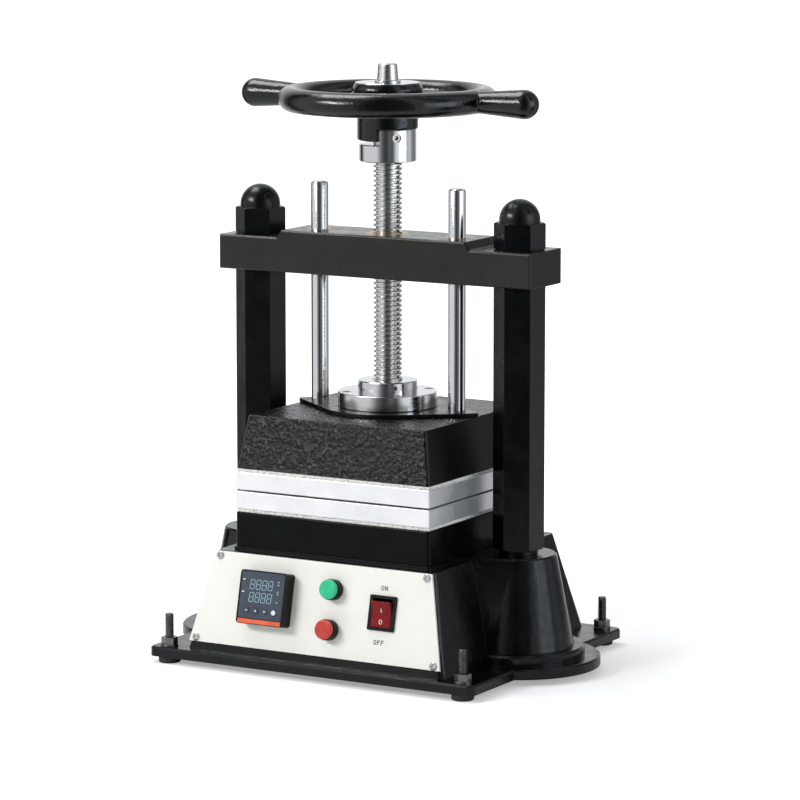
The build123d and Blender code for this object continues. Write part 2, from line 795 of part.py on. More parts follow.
with BuildPart() as strike_collar:
    with BuildSketch(Plane.XY.offset(strike_base)):
        Circle(strike_radius)
    extrude(amount=strike_ring)
    chamfer(strike_collar.edges().filter_by(GeomType.CIRCLE), strike_edge)
    jaw_foot = strike_base + strike_ring - strike_edge
    with BuildSketch(Plane.XY.offset(jaw_foot)):
        add(sector(screw_radius, strike_radius, strike_jaw_start, strike_jaw_span))
    extrude(amount=strike_jaw_height + strike_edge)
    with BuildSketch(Plane.XY.offset(strike_base)):
        Circle(screw_radius + running_gap)
    extrude(amount=strike_ring + strike_jaw_height, mode=Mode.SUBTRACT)
    grub_z = strike_base + strike_ring + strike_jaw_height / 2
    grub_out = (cos(radians(grub_angle)), sin(radians(grub_angle)), 0)
    grub_mouth = Plane(origin=(0, 0, grub_z), z_dir=grub_out).offset(strike_radius)
    with BuildSketch(grub_mouth):
        Circle(grub_radius + running_gap)
    extrude(amount=-(strike_radius - screw_radius), mode=Mode.SUBTRACT)

strike_collar.part.label = "strike_collar"
export_step(strike_collar.part, "parts/strike_collar.step")

with BuildPart() as strike_grub_screw:
    grub_inner = Plane(origin=(0, 0, grub_z), z_dir=grub_out).offset(screw_radius)
    with BuildSketch(grub_inner):
        Circle(grub_radius)
    extrude(amount=grub_length)
    with BuildSketch(grub_inner.offset(grub_length)):
        RegularPolygon(grub_socket_flats / 2, 6, major_radius=False)
    extrude(amount=-grub_socket_depth, mode=Mode.SUBTRACT)

strike_grub_screw.part.label = "strike_grub_screw"
export_step(strike_grub_screw.part, "parts/strike_grub_screw.step")

with BuildPart() as snap_ring:
    with BuildSketch(Plane.XY.offset(ring_z)):
        Circle(groove_radius + ring_width)
        Circle(groove_radius + running_gap, mode=Mode.SUBTRACT)
        with Locations((0, groove_radius + ring_width / 2)):
            Rectangle(ring_width, 2 * ring_width, mode=Mode.SUBTRACT)
    extrude(amount=ring_thickness)

snap_ring.part.label = "snap_ring"
export_step(snap_ring.part, "parts/snap_ring.step")

# ---- Handwheel: hub with a striking jaw, spokes, rim and two grips in one casting ---------------

with BuildPart() as handwheel:
    with BuildSketch(Plane.XZ):
        with BuildLine():
            Polyline(
                (journal_radius + running_gap, hub_z),
                (hub_radius, hub_z),
                (hub_radius, hub_z + hub_waist),
                (hub_top_radius, hub_z + hub_waist + (hub_top_radius - hub_radius)),
                (hub_top_radius, hub_top_z - hub_chamfer),
                (hub_face_radius, hub_top_z),
                (journal_radius + running_gap, hub_top_z),
                close=True,
            )
        make_face()
    revolve(axis=Axis.Z)
    with Locations((0, 0, rim_z)):
        Torus(rim_radius, rim_tube)
    # The spokes run from inside the hub into the rim
    for spoke in range(spoke_count):
        angle = radians(spoke_turn + 360 / spoke_count * spoke)
        along = (cos(angle), sin(angle), 0)
        across = (-sin(angle), cos(angle), 0)
        spoke_axis = Plane(origin=(0, 0, rim_z), x_dir=across, z_dir=along)
        with BuildSketch(spoke_axis.offset(hub_radius - rim_tube / 2)):
            Ellipse(spoke_hub_width / 2, spoke_hub_depth / 2)
        with BuildSketch(spoke_axis.offset(rim_radius - rim_tube / 2)):
            Ellipse(spoke_rim_width / 2, spoke_rim_depth / 2)
        loft(ruled=True)
    # A grip on each side, thicker towards its rounded end
    nose_start = grip_end - grip_end_radius
    grip_root = rim_radius + grip_bury
    for side in (-1, 1):
        with BuildSketch(Plane.XZ):
            with BuildLine():
                Polyline(
                    (side * grip_end, rim_z),
                    (side * grip_root, rim_z),
                    (side * grip_root, rim_z + grip_root_radius),
                    (side * nose_start, rim_z + grip_end_radius),
                )
                swell = (
                    side * (nose_start + grip_end_radius * cos(pi / 4)),
                    rim_z + grip_end_radius * sin(pi / 4),
                )
                ThreePointArc((side * nose_start, rim_z + grip_end_radius), swell, (side * grip_end, rim_z))
            make_face()
        revolve(axis=Axis((0, 0, rim_z), (1, 0, 0)))
    # The jaw under the hub strikes the jaw of the collar
    jaw_end = strike_jaw_start - jaw_gap
    with BuildSketch(Plane.XY.offset(hub_z)):
        add(sector(jaw_bore, hub_radius, jaw_end - hub_jaw_span, hub_jaw_span))
    extrude(amount=-hub_jaw_height)

handwheel.part.label = "handwheel"
export_step(handwheel.part, "parts/handwheel.step")

# ---- Control panel and what is mounted in it ---------------------------------------------------

with BuildPart() as control_panel:
    with BuildSketch(wall_plane):
        with BuildLine():
            Polyline(
                (-panel_half_bottom, -panel_height / 2),
                (panel_half_bottom, -panel_height / 2),
                (panel_half_top, panel_height / 2),
                (-panel_half_top, panel_height / 2),
                close=True,
            )
        make_face()
        with Locations((meter_x, meter_y)):
            Rectangle(meter_body + 2 * panel_gap, meter_body + 2 * panel_gap, mode=Mode.SUBTRACT)
        with Locations((lamp_x, lamp_high_y), (lamp_x, lamp_low_y)):
            Circle(lamp_barrel_radius + panel_gap, mode=Mode.SUBTRACT)
        with Locations((switch_x, switch_y)):
            Rectangle(
                switch_body_width + 2 * panel_gap, switch_body_length + 2 * panel_gap, mode=Mode.SUBTRACT
            )
        with Locations(*panel_screw_places):
            Circle(panel_screw_radius + panel_gap, mode=Mode.SUBTRACT)
    extrude(amount=panel_thickness)

control_panel.part.label = "control_panel"
export_step(control_panel.part, "parts/control_panel.step")

with BuildPart() as panel_screws:
    with BuildSketch(panel_front):
        with Locations(*panel_screw_places):
            Circle(panel_screw_head)
    extrude(amount=panel_screw_dome)
    head_rims = panel_screws.faces().group_by(Axis(panel_front.origin, panel_front.z_dir))[-1].edges()
    chamfer(head_rims, panel_screw_dome / 2)
    # Cross recess
    with BuildSketch(panel_front.offset(panel_screw_dome)):
        with Locations(*panel_screw_places):
            Rectangle(panel_screw_head, panel_screw_slot)
            Rectangle(panel_screw_slot, panel_screw_head)
    extrude(amount=-panel_screw_dome / 2, mode=Mode.SUBTRACT)
    with BuildSketch(panel_front):
        with Locations(*panel_screw_places):
            Circle(panel_screw_radius)
    extrude(amount=-panel_screw_length)

panel_screws.part.label = "panel_screws"
export_step(panel_screws.part, "parts/panel_screws.step")

meter_front = panel_front.offset(meter_proud)
key_places = [(meter_x + key_first_x + key_pitch * i, meter_y + key_y) for i in range(4)]

with BuildPart() as temperature_controller:
    with BuildSketch(panel_front):
        with Locations((meter_x, meter_y)):
            RectangleRounded(meter_face, meter_face, meter_corner)
    extrude(amount=meter_proud)
    with BuildSketch(panel_front):
        with Locations((meter_x, meter_y)):
            Rectangle(meter_body, meter_body)
    extrude(amount=-meter_depth)
    with BuildSketch(meter_front):
        with Locations((meter_x, meter_y + glass_rise)):
            RectangleRounded(glass_width + 2 * seat_gap, glass_height + 2 * seat_gap, glass_corner)
    extrude(amount=-glass_thickness, mode=Mode.SUBTRACT)
    with BuildSketch(meter_front.offset(-glass_thickness)):
        with Locations(*key_places):
            Circle(key_radius + key_gap)
    extrude(amount=-(key_flange + key_travel + seat_gap), mode=Mode.SUBTRACT)

temperature_controller.part.label = "temperature_controller"
export_step(temperature_controller.part, "parts/temperature_controller.step")

with BuildPart() as controller_window:
    with BuildSketch(meter_front.offset(-glass_thickness)):
        with Locations((meter_x, meter_y + glass_rise)):
            RectangleRounded(glass_width, glass_height, glass_corner)
        with Locations(*key_places):
            Circle(key_radius + key_gap, mode=Mode.SUBTRACT)
    extrude(amount=glass_thickness)

controller_window.part.label = "controller_window"
export_step(controller_window.part, "parts/controller_window.step")

for place, name in zip(key_places, ("set", "shift", "down", "up")):
    with BuildPart() as key:
        with BuildSketch(meter_front.offset(key_proud)):
            with Locations(place):
                Circle(key_radius)
        extrude(amount=-(key_proud + glass_thickness + key_flange))
    key.part.label = name + "_key"
    export_step(key.part, "parts/" + name + "_key.step")

for lamp_y, name in ((lamp_high_y, "power"), (lamp_low_y, "heat")):
    with BuildPart() as lamp_holder:
        with BuildSketch(panel_front):
            with Locations((lamp_x, lamp_y)):
                Circle(lamp_bezel_radius)
        extrude(amount=lamp_bezel_height)
        bezel_rim = lamp_holder.faces().group_by(Axis(panel_front.origin, panel_front.z_dir))[-1].edges()
        chamfer(bezel_rim, lamp_bezel_radius - lens_radius)
        with BuildSketch(panel_front):
            with Locations((lamp_x, lamp_y)):
                Circle(lamp_barrel_radius)
        extrude(amount=-lamp_barrel_length)
        with BuildSketch(wall_plane):
            with Locations((lamp_x, lamp_y)):
                RegularPolygon(lamp_nut_flats / 2, 6, major_radius=False)
        extrude(amount=-lamp_nut_height)
        with BuildSketch(panel_front.offset(lamp_bezel_height)):
            with Locations((lamp_x, lamp_y)):
                Circle(lens_spigot_radius + seat_gap)
        extrude(amount=-(lens_spigot_depth + axial_gap), mode=Mode.SUBTRACT)
    lamp_holder.part.label = name + "_lamp_holder"
    export_step(lamp_holder.part, "parts/" + name + "_lamp_holder.step")

    with BuildPart() as lamp_lens:
        with BuildSketch(panel_front.offset(lamp_bezel_height)):
            with Locations((lamp_x, lamp_y)):
                Circle(lens_radius)
        extrude(amount=lens_height)
        lens_rim = lamp_lens.faces().group_by(Axis(panel_front.origin, panel_front.z_dir))[-1].edges()
        fillet(lens_rim, lens_edge)
        with BuildSketch(panel_front.offset(lamp_bezel_height)):
            with Locations((lamp_x, lamp_y)):
                Circle(lens_spigot_radius)
        extrude(amount=-lens_spigot_depth)
    lamp_lens.part.label = name + "_lamp_lens"
    export_step(lamp_lens.part, "parts/" + name + "_lamp_lens.step")

# The rocker turns on two pins in the side walls of the switch body
pin_hole = rocker_pin_radius + running_gap
pivot_plane = Plane(
    origin=panel_front.from_local_coords((switch_x, switch_y, rocker_pivot)),
    x_dir=(0, sin(radians(housing_draft)), cos(radians(housing_draft))),
    z_dir=(1, 0, 0),
)

with BuildPart() as switch_body:
    with BuildSketch(panel_front):
        with Locations((switch_x, switch_y)):
            RectangleRounded(switch_width, switch_length, switch_corner)
    extrude(amount=switch_bezel)
    with BuildSketch(panel_front):
        with Locations((switch_x, switch_y)):
            Rectangle(switch_body_width, switch_body_length)
    extrude(amount=-switch_body_depth)
    well_depth = switch_body_depth - switch_floor + switch_bezel
    with BuildSketch(panel_front.offset(switch_bezel)):
        with Locations((switch_x, switch_y)):
            Rectangle(switch_opening_width, switch_opening_length)
    extrude(amount=-well_depth, mode=Mode.SUBTRACT)
    with BuildSketch(pivot_plane):
        Circle(pin_hole)
    pin_span = switch_opening_width + 2 * rocker_pin_reach + 2 * running_gap
    extrude(amount=pin_span / 2, both=True, mode=Mode.SUBTRACT)

switch_body.part.label = "switch_body"
export_step(switch_body.part, "parts/switch_body.step")


def tilted(along, out):
    """A point of the level rocker, turned about its pins to the OFF position."""
    swing = radians(rocker_half_swing)
    height = out - rocker_pivot
    return (along * cos(swing) - height * sin(swing), along * sin(swing) + height * cos(swing))


with BuildPart() as rocker:
    with BuildSketch(pivot_plane):
        with BuildLine():
            Polyline(
                tilted(-rocker_half_length, rocker_lift),
                tilted(0, rocker_dip),
                tilted(rocker_half_length, rocker_lift),
                tilted(rocker_half_length - rocker_lift / 2, rocker_pivot - rocker_skirt / 2),
                tilted(0, rocker_pivot - rocker_skirt),
                tilted(-rocker_half_length + rocker_lift / 2, rocker_pivot - rocker_skirt / 2),
                close=True,
            )
        make_face()
    extrude(amount=switch_opening_width / 2 - rocker_side_gap, both=True)
    with BuildSketch(pivot_plane):
        Circle(rocker_pin_radius)
    extrude(amount=switch_opening_width / 2 + rocker_pin_reach, both=True)

rocker.part.label = "rocker"
export_step(rocker.part, "parts/rocker.step")

# ---- Electrics inside the base -----------------------------------------------------------------

cover_top = plate_bottom + cover_thickness

with BuildPart() as heater_relay:
    with BuildSketch(Plane.XY.offset(cover_top)):
        with Locations((relay_x, relay_y)):
            Rectangle(relay_size[0], relay_size[1])
    extrude(amount=relay_size[2])
    chamfer(heater_relay.edges().group_by(Axis.Z)[-1], block_edge)

heater_relay.part.label = "heater_relay"
export_step(heater_relay.part, "parts/heater_relay.step")

with BuildPart() as terminal_block:
    with BuildSketch(Plane.XY.offset(cover_top)):
        with Locations((terminal_x, terminal_y)):
            Rectangle(terminal_size[0], terminal_size[1])
    extrude(amount=terminal_size[2])
    way_pitch = terminal_size[0] / terminal_ways
    with BuildSketch(Plane.XY.offset(cover_top + terminal_size[2])):
        with Locations((terminal_x, terminal_y)):
            with GridLocations(way_pitch, terminal_size[1] / 2, terminal_ways, 2):
                Rectangle(way_pitch - terminal_wall, terminal_size[1] / 2 - terminal_wall)
    extrude(amount=-terminal_slot_depth, mode=Mode.SUBTRACT)

terminal_block.part.label = "terminal_block"
export_step(terminal_block.part, "parts/terminal_block.step")

with BuildPart() as cable_gland:
    with BuildSketch(gland_plane):
        Circle(gland_thread_radius)
    extrude(amount=-(housing_wall + gland_inside))
    with BuildSketch(gland_plane):
        RegularPolygon(gland_nut_flats / 2, 6, major_radius=False)
    extrude(amount=gland_nut_height)
    with BuildSketch(gland_plane.offset(gland_nut_height)):
        Circle(gland_body_radius)
    extrude(amount=gland_body_length, taper=gland_taper)
    with BuildSketch(gland_plane.offset(gland_nut_height + gland_body_length)):
        Circle(gland_bore)
    extrude(
        amount=-(gland_nut_height + gland_body_length + housing_wall + gland_inside), mode=Mode.SUBTRACT
    )

cable_gland.part.label = "cable_gland"
export_step(cable_gland.part, "parts/cable_gland.step")
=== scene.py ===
# Looks of a bench press for vulcanizing rubber moulds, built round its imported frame.
# Metres, +Z up, the control panel faces -Y. Sections follow the press as it is put together.

import json
from math import ceil, cos, pi, radians, sin, tau

import bmesh
import bpy
from mathutils import Matrix, Vector

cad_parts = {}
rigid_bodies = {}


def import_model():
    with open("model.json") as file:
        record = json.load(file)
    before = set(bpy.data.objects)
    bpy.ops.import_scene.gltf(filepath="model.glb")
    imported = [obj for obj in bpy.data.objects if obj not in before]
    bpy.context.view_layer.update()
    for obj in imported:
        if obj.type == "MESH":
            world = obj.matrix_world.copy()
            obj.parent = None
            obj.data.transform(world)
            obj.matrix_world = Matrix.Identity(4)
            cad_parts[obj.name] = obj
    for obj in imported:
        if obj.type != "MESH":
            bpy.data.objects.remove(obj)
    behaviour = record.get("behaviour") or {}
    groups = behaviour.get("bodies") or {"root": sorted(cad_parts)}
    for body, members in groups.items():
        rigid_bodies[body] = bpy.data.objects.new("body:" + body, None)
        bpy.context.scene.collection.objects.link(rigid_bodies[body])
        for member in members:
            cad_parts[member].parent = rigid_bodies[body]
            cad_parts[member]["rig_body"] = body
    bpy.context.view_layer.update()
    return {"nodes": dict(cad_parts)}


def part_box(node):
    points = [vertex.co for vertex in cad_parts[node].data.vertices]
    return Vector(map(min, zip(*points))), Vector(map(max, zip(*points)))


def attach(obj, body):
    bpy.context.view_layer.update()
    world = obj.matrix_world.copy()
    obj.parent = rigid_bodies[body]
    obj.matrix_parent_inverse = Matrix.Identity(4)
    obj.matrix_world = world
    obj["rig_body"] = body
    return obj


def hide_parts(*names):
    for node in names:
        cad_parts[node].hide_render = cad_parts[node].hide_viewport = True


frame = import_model()

# ---- Base casting ------------------------------------------------------------------------------
# One grey-iron casting: foot plate, column bosses and the housing with its sloping walls. It is
# sprayed with thick black gloss enamel straight over the sand skin, so it shines but isn't flat.

WELD = 1e-6
FLAT = radians(1.0)  # facets closer than this to one plane become one face
CREASE = radians(24)  # an edge sharper than this is a real edge
AUTO_SMOOTH = radians(35)
CAST_EDGE = 0.0015
EDGE_STEPS = 3


def new_piece(name, mesh, finish, body, slot, *nodes):
    """A piece in its place in the frame, riding on a body and standing for the given nodes."""
    piece = bpy.data.objects.new(name, mesh)
    bpy.context.scene.collection.objects.link(piece)
    if not mesh.materials:
        mesh.materials.append(finish)
    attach(piece, body)
    if nodes:
        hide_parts(*nodes)
    return piece


def mesh_of(name, form, smooth=True):
    """The finished mesh of a bmesh form, shaded smooth apart from its creases."""
    bmesh.ops.recalc_face_normals(form, faces=form.faces)
    mesh = bpy.data.meshes.new(name)
    form.to_mesh(mesh)
    form.free()
    if smooth:
        mesh.shade_smooth()
        mesh.set_sharp_from_angle(angle=AUTO_SMOOTH)
    return mesh


def clean_copy(node):
    """The node's own form as a bmesh of whole faces, without the facets' diagonals."""
    form = bmesh.new()
    form.from_mesh(frame["nodes"][node].data)
    for layer in list(form.loops.layers.float_vector):
        if layer.name == "custom_normal":
            form.loops.layers.float_vector.remove(layer)
    bmesh.ops.remove_doubles(form, verts=form.verts, dist=WELD)
    bmesh.ops.dissolve_limit(form, angle_limit=FLAT, verts=form.verts, edges=form.edges)
    return form


def eased(node, edge, finish, slot, steps=EDGE_STEPS):
    """The node's piece with its sharp edges eased to a small radius."""
    mesh = mesh_of(node + "_piece", clean_copy(node))
    stale = mesh.attributes.get("custom_normal")
    if stale:
        mesh.attributes.remove(stale)
        mesh.shade_smooth()
        mesh.set_sharp_from_angle(angle=AUTO_SMOOTH)
    piece = new_piece(node + "_piece", mesh, finish, frame["nodes"][node]["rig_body"], slot, node)
    round_off = piece.modifiers.new("eased_edges", "BEVEL")
    round_off.width = edge
    round_off.segments = steps
    round_off.limit_method = "ANGLE"
    round_off.angle_limit = CREASE
    round_off.harden_normals = True
    return piece


def dress(node, finish):
    """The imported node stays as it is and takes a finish."""
    mesh = frame["nodes"][node].data
    mesh.materials.clear()
    mesh.materials.append(finish)


def new_finish(name, colour, roughness, metallic=0.0):
    """A finish with its plain values set, and its shader."""
    finish = bpy.data.materials.new(name)
    finish.use_nodes = True
    shader = finish.node_tree.nodes["Principled BSDF"]
    shader.inputs["Base Color"].default_value = (*colour, 1)
    shader.inputs["Roughness"].default_value = roughness
    shader.inputs["Metallic"].default_value = metallic
    return finish, shader


def cells(finish, per_metre, stretch=(1, 1, 1), detail=3.0):
    """A pattern in the piece's own metres, squeezed along its axes. Returns its height from 0 to 1."""
    nodes, links = finish.node_tree.nodes, finish.node_tree.links
    place = nodes.new("ShaderNodeTexCoord")
    squeeze = nodes.new("ShaderNodeMapping")
    squeeze.inputs["Scale"].default_value = stretch
    pattern = nodes.new("ShaderNodeTexNoise")
    pattern.inputs["Scale"].default_value = per_metre
    pattern.inputs["Detail"].default_value = detail
    links.new(place.outputs["Object"], squeeze.inputs["Vector"])
    links.new(squeeze.outputs["Vector"], pattern.inputs["Vector"])
    return pattern.outputs[0]


def vary(finish, shader, socket, height, low, high, start=0.35, end=0.65):
    """Lets a pattern carry a colour or a number between two values."""
    nodes, links = finish.node_tree.nodes, finish.node_tree.links
    if socket == "Base Color":
        ramp = nodes.new("ShaderNodeValToRGB")
        ramp.color_ramp.elements[0].position = start
        ramp.color_ramp.elements[0].color = (*low, 1)
        ramp.color_ramp.elements[1].position = end
        ramp.color_ramp.elements[1].color = (*high, 1)
        links.new(height, ramp.inputs["Fac"])
        links.new(ramp.outputs["Color"], shader.inputs[socket])
    else:
        span = nodes.new("ShaderNodeMapRange")
        span.inputs["From Min"].default_value = start
        span.inputs["From Max"].default_value = end
        span.inputs["To Min"].default_value = low
        span.inputs["To Max"].default_value = high
        links.new(height, span.inputs["Value"])
        links.new(span.outputs["Result"], shader.inputs[socket])


def relief(finish, shader, *layers):
    """Bumps stacked on the surface: each layer is a pattern's height and its depth in metres."""
    nodes, links = finish.node_tree.nodes, finish.node_tree.links
    below = None
    for height, depth in layers:
        bump = nodes.new("ShaderNodeBump")
        bump.inputs["Strength"].default_value = 1.0
        bump.inputs["Distance"].default_value = depth
        links.new(height, bump.inputs["Height"])
        if below:
            links.new(below, bump.inputs["Normal"])
        below = bump.outputs["Normal"]
    links.new(below, shader.inputs["Normal"])


def gloss_enamel(name, dark, light, skin_depth, orange_peel, roughness=(0.08, 0.2), shine=0.32):
    """Black enamel over cast iron: long waves of the sand skin under a fine orange peel."""
    finish, shader = new_finish(name, dark, roughness[0])
    shader.inputs["Specular IOR Level"].default_value = shine
    vary(finish, shader, "Base Color", cells(finish, 55.0), dark, light)
    vary(finish, shader, "Roughness", cells(finish, 90.0), *roughness)
    skin = cells(finish, 210.0, detail=4.0)
    waves = cells(finish, 42.0, detail=2.0)
    relief(finish, shader, (waves, 2.2 * skin_depth), (skin, skin_depth), (cells(finish, 700.0), orange_peel))
    return finish


base_enamel = gloss_enamel("base_enamel", (0.0016, 0.0018, 0.0021), (0.004, 0.0046, 0.0055), 0.00018, 0.00008,
                           (0.12, 0.22), 0.28)
eased("base_casting", CAST_EDGE, base_enamel, "black_casting")

# Sheet-steel cover under the housing, held by the lip of the casting, painted a plain dark grey.
cover_paint, cover_shader = new_finish("cover_paint", (0.045, 0.046, 0.05), 0.55)
relief(cover_paint, cover_shader, (cells(cover_paint, 900.0), 0.00003))
dress("bottom_cover", cover_paint)

# ---- Foot bolts --------------------------------------------------------------------------------
# Four M8 studs stand on round rubber-black pads and pass through the corners of the foot plate,
# locked by a nut on a washer. Studs, nuts and washers are plain dark grey steel.


def lathe(form, profile, centre=(0, 0), steps=96):
    """Turns a profile of (radius, height) points into a closed shell about an upright axis."""
    rings = []
    for radius, height in profile:
        if radius == 0:
            rings.append([form.verts.new((centre[0], centre[1], height))])
        else:
            rings.append([
                form.verts.new((
                    centre[0] + radius * cos(tau * i / steps),
                    centre[1] + radius * sin(tau * i / steps),
                    height,
                ))
                for i in range(steps)
            ])
    for lower, upper in zip(rings, rings[1:]):
        for i in range(steps):
            j = (i + 1) % steps
            corners = [
                lower[i % len(lower)],
                lower[j % len(lower)],
                upper[j % len(upper)],
                upper[i % len(upper)],
            ]
            whole = [v for k, v in enumerate(corners) if v not in corners[:k]]
            form.faces.new(whole)


def thread(form, centre, bottom, top, crest, depth, lead, crest_share, root_share, steps=48):
    """A screw thread with flat crests and roots, cut square at both ends and closed there."""
    flank = (1 - crest_share - root_share) / 2
    marks = (0, root_share, root_share + flank, root_share + flank + crest_share)

    def radius_at(turn):
        turn %= 1.0
        if turn <= marks[1]:
            return crest - depth
        if turn <= marks[2]:
            return crest - depth + depth * (turn - marks[1]) / flank
        if turn <= marks[3]:
            return crest
        return crest - depth * (turn - marks[3]) / flank

    turns = range(-2, ceil((top - bottom) / lead) + 2)
    columns = []
    for i in range(steps):
        angle = tau * i / steps
        column = []
        for k in turns:
            for mark in marks:
                level = bottom + lead * (k + mark + i / steps)
                height = min(max(level, bottom), top)
                radius = radius_at((height - bottom) / lead - i / steps)
                column.append(form.verts.new((
                    centre[0] + radius * cos(angle),
                    centre[1] + radius * sin(angle),
                    height,
                )))
        columns.append(column)
    rows = len(columns[0])
    per_turn = len(marks)
    for i, here in enumerate(columns):
        nearby = columns[(i + 1) % steps]
        shift = per_turn if i == steps - 1 else 0  # the next turn starts one lead higher
        for row in range(shift, rows - 1):
            after = row - shift
            form.faces.new([here[row], nearby[after], nearby[after + 1], here[row + 1]])
    bmesh.ops.remove_doubles(form, verts=form.verts, dist=WELD)
    bmesh.ops.dissolve_degenerate(form, edges=form.edges, dist=WELD)
    rims = [e for e in form.edges if e.is_boundary]
    bmesh.ops.holes_fill(form, edges=rims, sides=0)


def bare_metal(name, colour, roughness, streaks=(1, 1, 1), streak_rate=600.0, streak_depth=0.000006,
               blotch=0.93):
    """Machined metal: tool marks along one direction, and a slight cloudiness from handling."""
    finish, shader = new_finish(name, colour, roughness[0], metallic=1.0)
    dull = tuple(blotch * c for c in colour)
    vary(finish, shader, "Base Color", cells(finish, 30.0), dull, colour)
    marks = cells(finish, streak_rate, stretch=streaks, detail=2.0)
    vary(finish, shader, "Roughness", marks, *roughness)
    relief(finish, shader, (marks, streak_depth))
    return finish


M8_LEAD = 0.00125
M8_DEPTH = 0.0007
M8_CREST = 0.004
STUD_CHAMFER = 0.0008
M8_FLAT = 0.12  # share of the lead that is crest, and the share that is root
bolts_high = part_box("foot_bolts")[1]
pad_top = 0.006
pad_radius = 0.010
pad_ease = 0.0012
stud_x = bolts_high.x - pad_radius
stud_y = bolts_high.y - pad_radius
studs = bmesh.new()
pads = bmesh.new()
for x in (-stud_x, stud_x):
    for y in (-stud_y, stud_y):
        stud = bmesh.new()
        stud_top = bolts_high.z - STUD_CHAMFER
        thread(stud, (x, y), pad_top, stud_top, M8_CREST, M8_DEPTH, M8_LEAD, M8_FLAT, M8_FLAT, 32)
        part = bpy.data.meshes.new("one_stud")
        stud.to_mesh(part)
        stud.free()
        studs.from_mesh(part)
        bpy.data.meshes.remove(part)
        root = M8_CREST - M8_DEPTH
        lathe(studs, [
            (0, bolts_high.z - 2 * STUD_CHAMFER),
            (root, bolts_high.z - 2 * STUD_CHAMFER),
            (root, bolts_high.z - STUD_CHAMFER / 2),
            (root - STUD_CHAMFER / 2, bolts_high.z),
            (0, bolts_high.z),
        ], (x, y), 32)
        lathe(pads, [
            (0, 0),
            (pad_radius - pad_ease, 0),
            (pad_radius - pad_ease / 3, pad_ease / 3),
            (pad_radius, pad_ease),
            (pad_radius, pad_top - pad_ease / 3),
            (pad_radius - pad_ease / 3, pad_top),
            (0, pad_top),
        ], (x, y), 48)

blackened, blackened_shader = new_finish("blackened_steel", (0.2, 0.198, 0.195), 0.3, metallic=1.0)
steel_clouds = cells(blackened, 260.0)
vary(blackened, blackened_shader, "Base Color", steel_clouds, (0.17, 0.167, 0.163), (0.21, 0.207, 0.204))
vary(blackened, blackened_shader, "Roughness", cells(blackened, 200.0), 0.26, 0.34)
relief(blackened, blackened_shader, (cells(blackened, 1400.0), 0.00001))
new_piece("foot_studs", mesh_of("foot_studs", studs), blackened, "press_frame", "zinc_bolts", "foot_bolts")

pad_rubber, pad_shader = new_finish("pad_rubber", (0.012, 0.012, 0.013), 0.6)
relief(pad_rubber, pad_shader, (cells(pad_rubber, 1100.0), 0.00004))
new_piece("foot_pads", mesh_of("foot_pads", pads), pad_rubber, "press_frame", "zinc_bolts")
for node in ("foot_washers", "foot_nuts"):
    eased(node, 0.00025, blackened, "zinc_bolts", 2)

# ---- Columns and dome nuts ---------------------------------------------------------------------
# Drawn hexagonal steel bars, turned down at both ends, screwed into the bosses and clamped over
# the crossbeam by tall dome nuts. Both are sprayed in the same black, smoother than the castings.

bar_enamel, bar_shader = new_finish("bar_enamel", (0.002, 0.0022, 0.0026), 0.2)
bar_shader.inputs["Specular IOR Level"].default_value = 0.3
bar_clouds = cells(bar_enamel, 25.0)
vary(bar_enamel, bar_shader, "Base Color", bar_clouds, (0.0015, 0.0017, 0.002), (0.0035, 0.004, 0.005))
vary(bar_enamel, bar_shader, "Roughness", cells(bar_enamel, 60.0), 0.2, 0.3)
drawn_waves = cells(bar_enamel, 60.0, (1, 1, 0.25))
relief(bar_enamel, bar_shader, (drawn_waves, 0.00012), (cells(bar_enamel, 620.0), 0.00002))
for side in ("left", "right"):
    eased(side + "_column", 0.0008, bar_enamel, "black_bar")
    eased(side + "_dome_nut", 0.0007, bar_enamel, "black_bar")

# ---- Crossbeam ---------------------------------------------------------------------------------
# A thick iron beam with a raised middle over the screw nut, ground flat on its front and sprayed
# black. The bronze bushes for the screw and the guide rods are pressed in flush with its top.

beam_enamel, beam_shader = new_finish("beam_enamel", (0.014, 0.012, 0.011), 0.3)
beam_shader.inputs["Specular IOR Level"].default_value = 0.3
beam_clouds = cells(beam_enamel, 20.0)
vary(beam_enamel, beam_shader, "Base Color", beam_clouds, (0.012, 0.0105, 0.0095), (0.019, 0.0165, 0.015))
vary(beam_enamel, beam_shader, "Roughness", cells(beam_enamel, 75.0), 0.18, 0.28)
relief(beam_enamel, beam_shader, (cells(beam_enamel, 45.0), 0.0002), (cells(beam_enamel, 520.0), 0.00004))
eased("crossbeam", 0.0006, beam_enamel, "beam_enamel")

bronze = bare_metal("bronze", (0.62, 0.42, 0.2), (0.28, 0.45))
for node in ("screw_nut", "left_guide_bush", "right_guide_bush"):
    dress(node, bronze)

# ---- Guide rods --------------------------------------------------------------------------------
# Ground and hard-chromed rods, screwed into the upper block through its top plate. They slide in
# the crossbeam and keep the plates parallel.

chrome = bare_metal("hard_chrome", (0.74, 0.75, 0.77), (0.05, 0.1), streaks=(1, 1, 30), streak_depth=0.000001)
for side in ("left", "right"):
    rod_low, rod_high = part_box(side + "_guide_rod")
    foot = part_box("lozenge_plate")[1].z
    centre = ((rod_low.x + rod_high.x) / 2, (rod_low.y + rod_high.y) / 2)
    radius = (rod_high.x - rod_low.x) / 2
    nose = 0.002
    screwed_end = 0.006
    rod = bmesh.new()
    lathe(rod, [
        (0, rod_low.z),
        (screwed_end, rod_low.z),
        (screwed_end, foot),
        (radius, foot),
        (radius, rod_high.z - nose),
        (radius - nose * 0.3, rod_high.z - nose * 0.45),
        (radius - nose, rod_high.z),
        (0, rod_high.z),
    ], centre, 96)
    name = side + "_rod"
    new_piece(name, mesh_of(name, rod), chrome, "carriage", "chrome_rod", side + "_guide_rod")

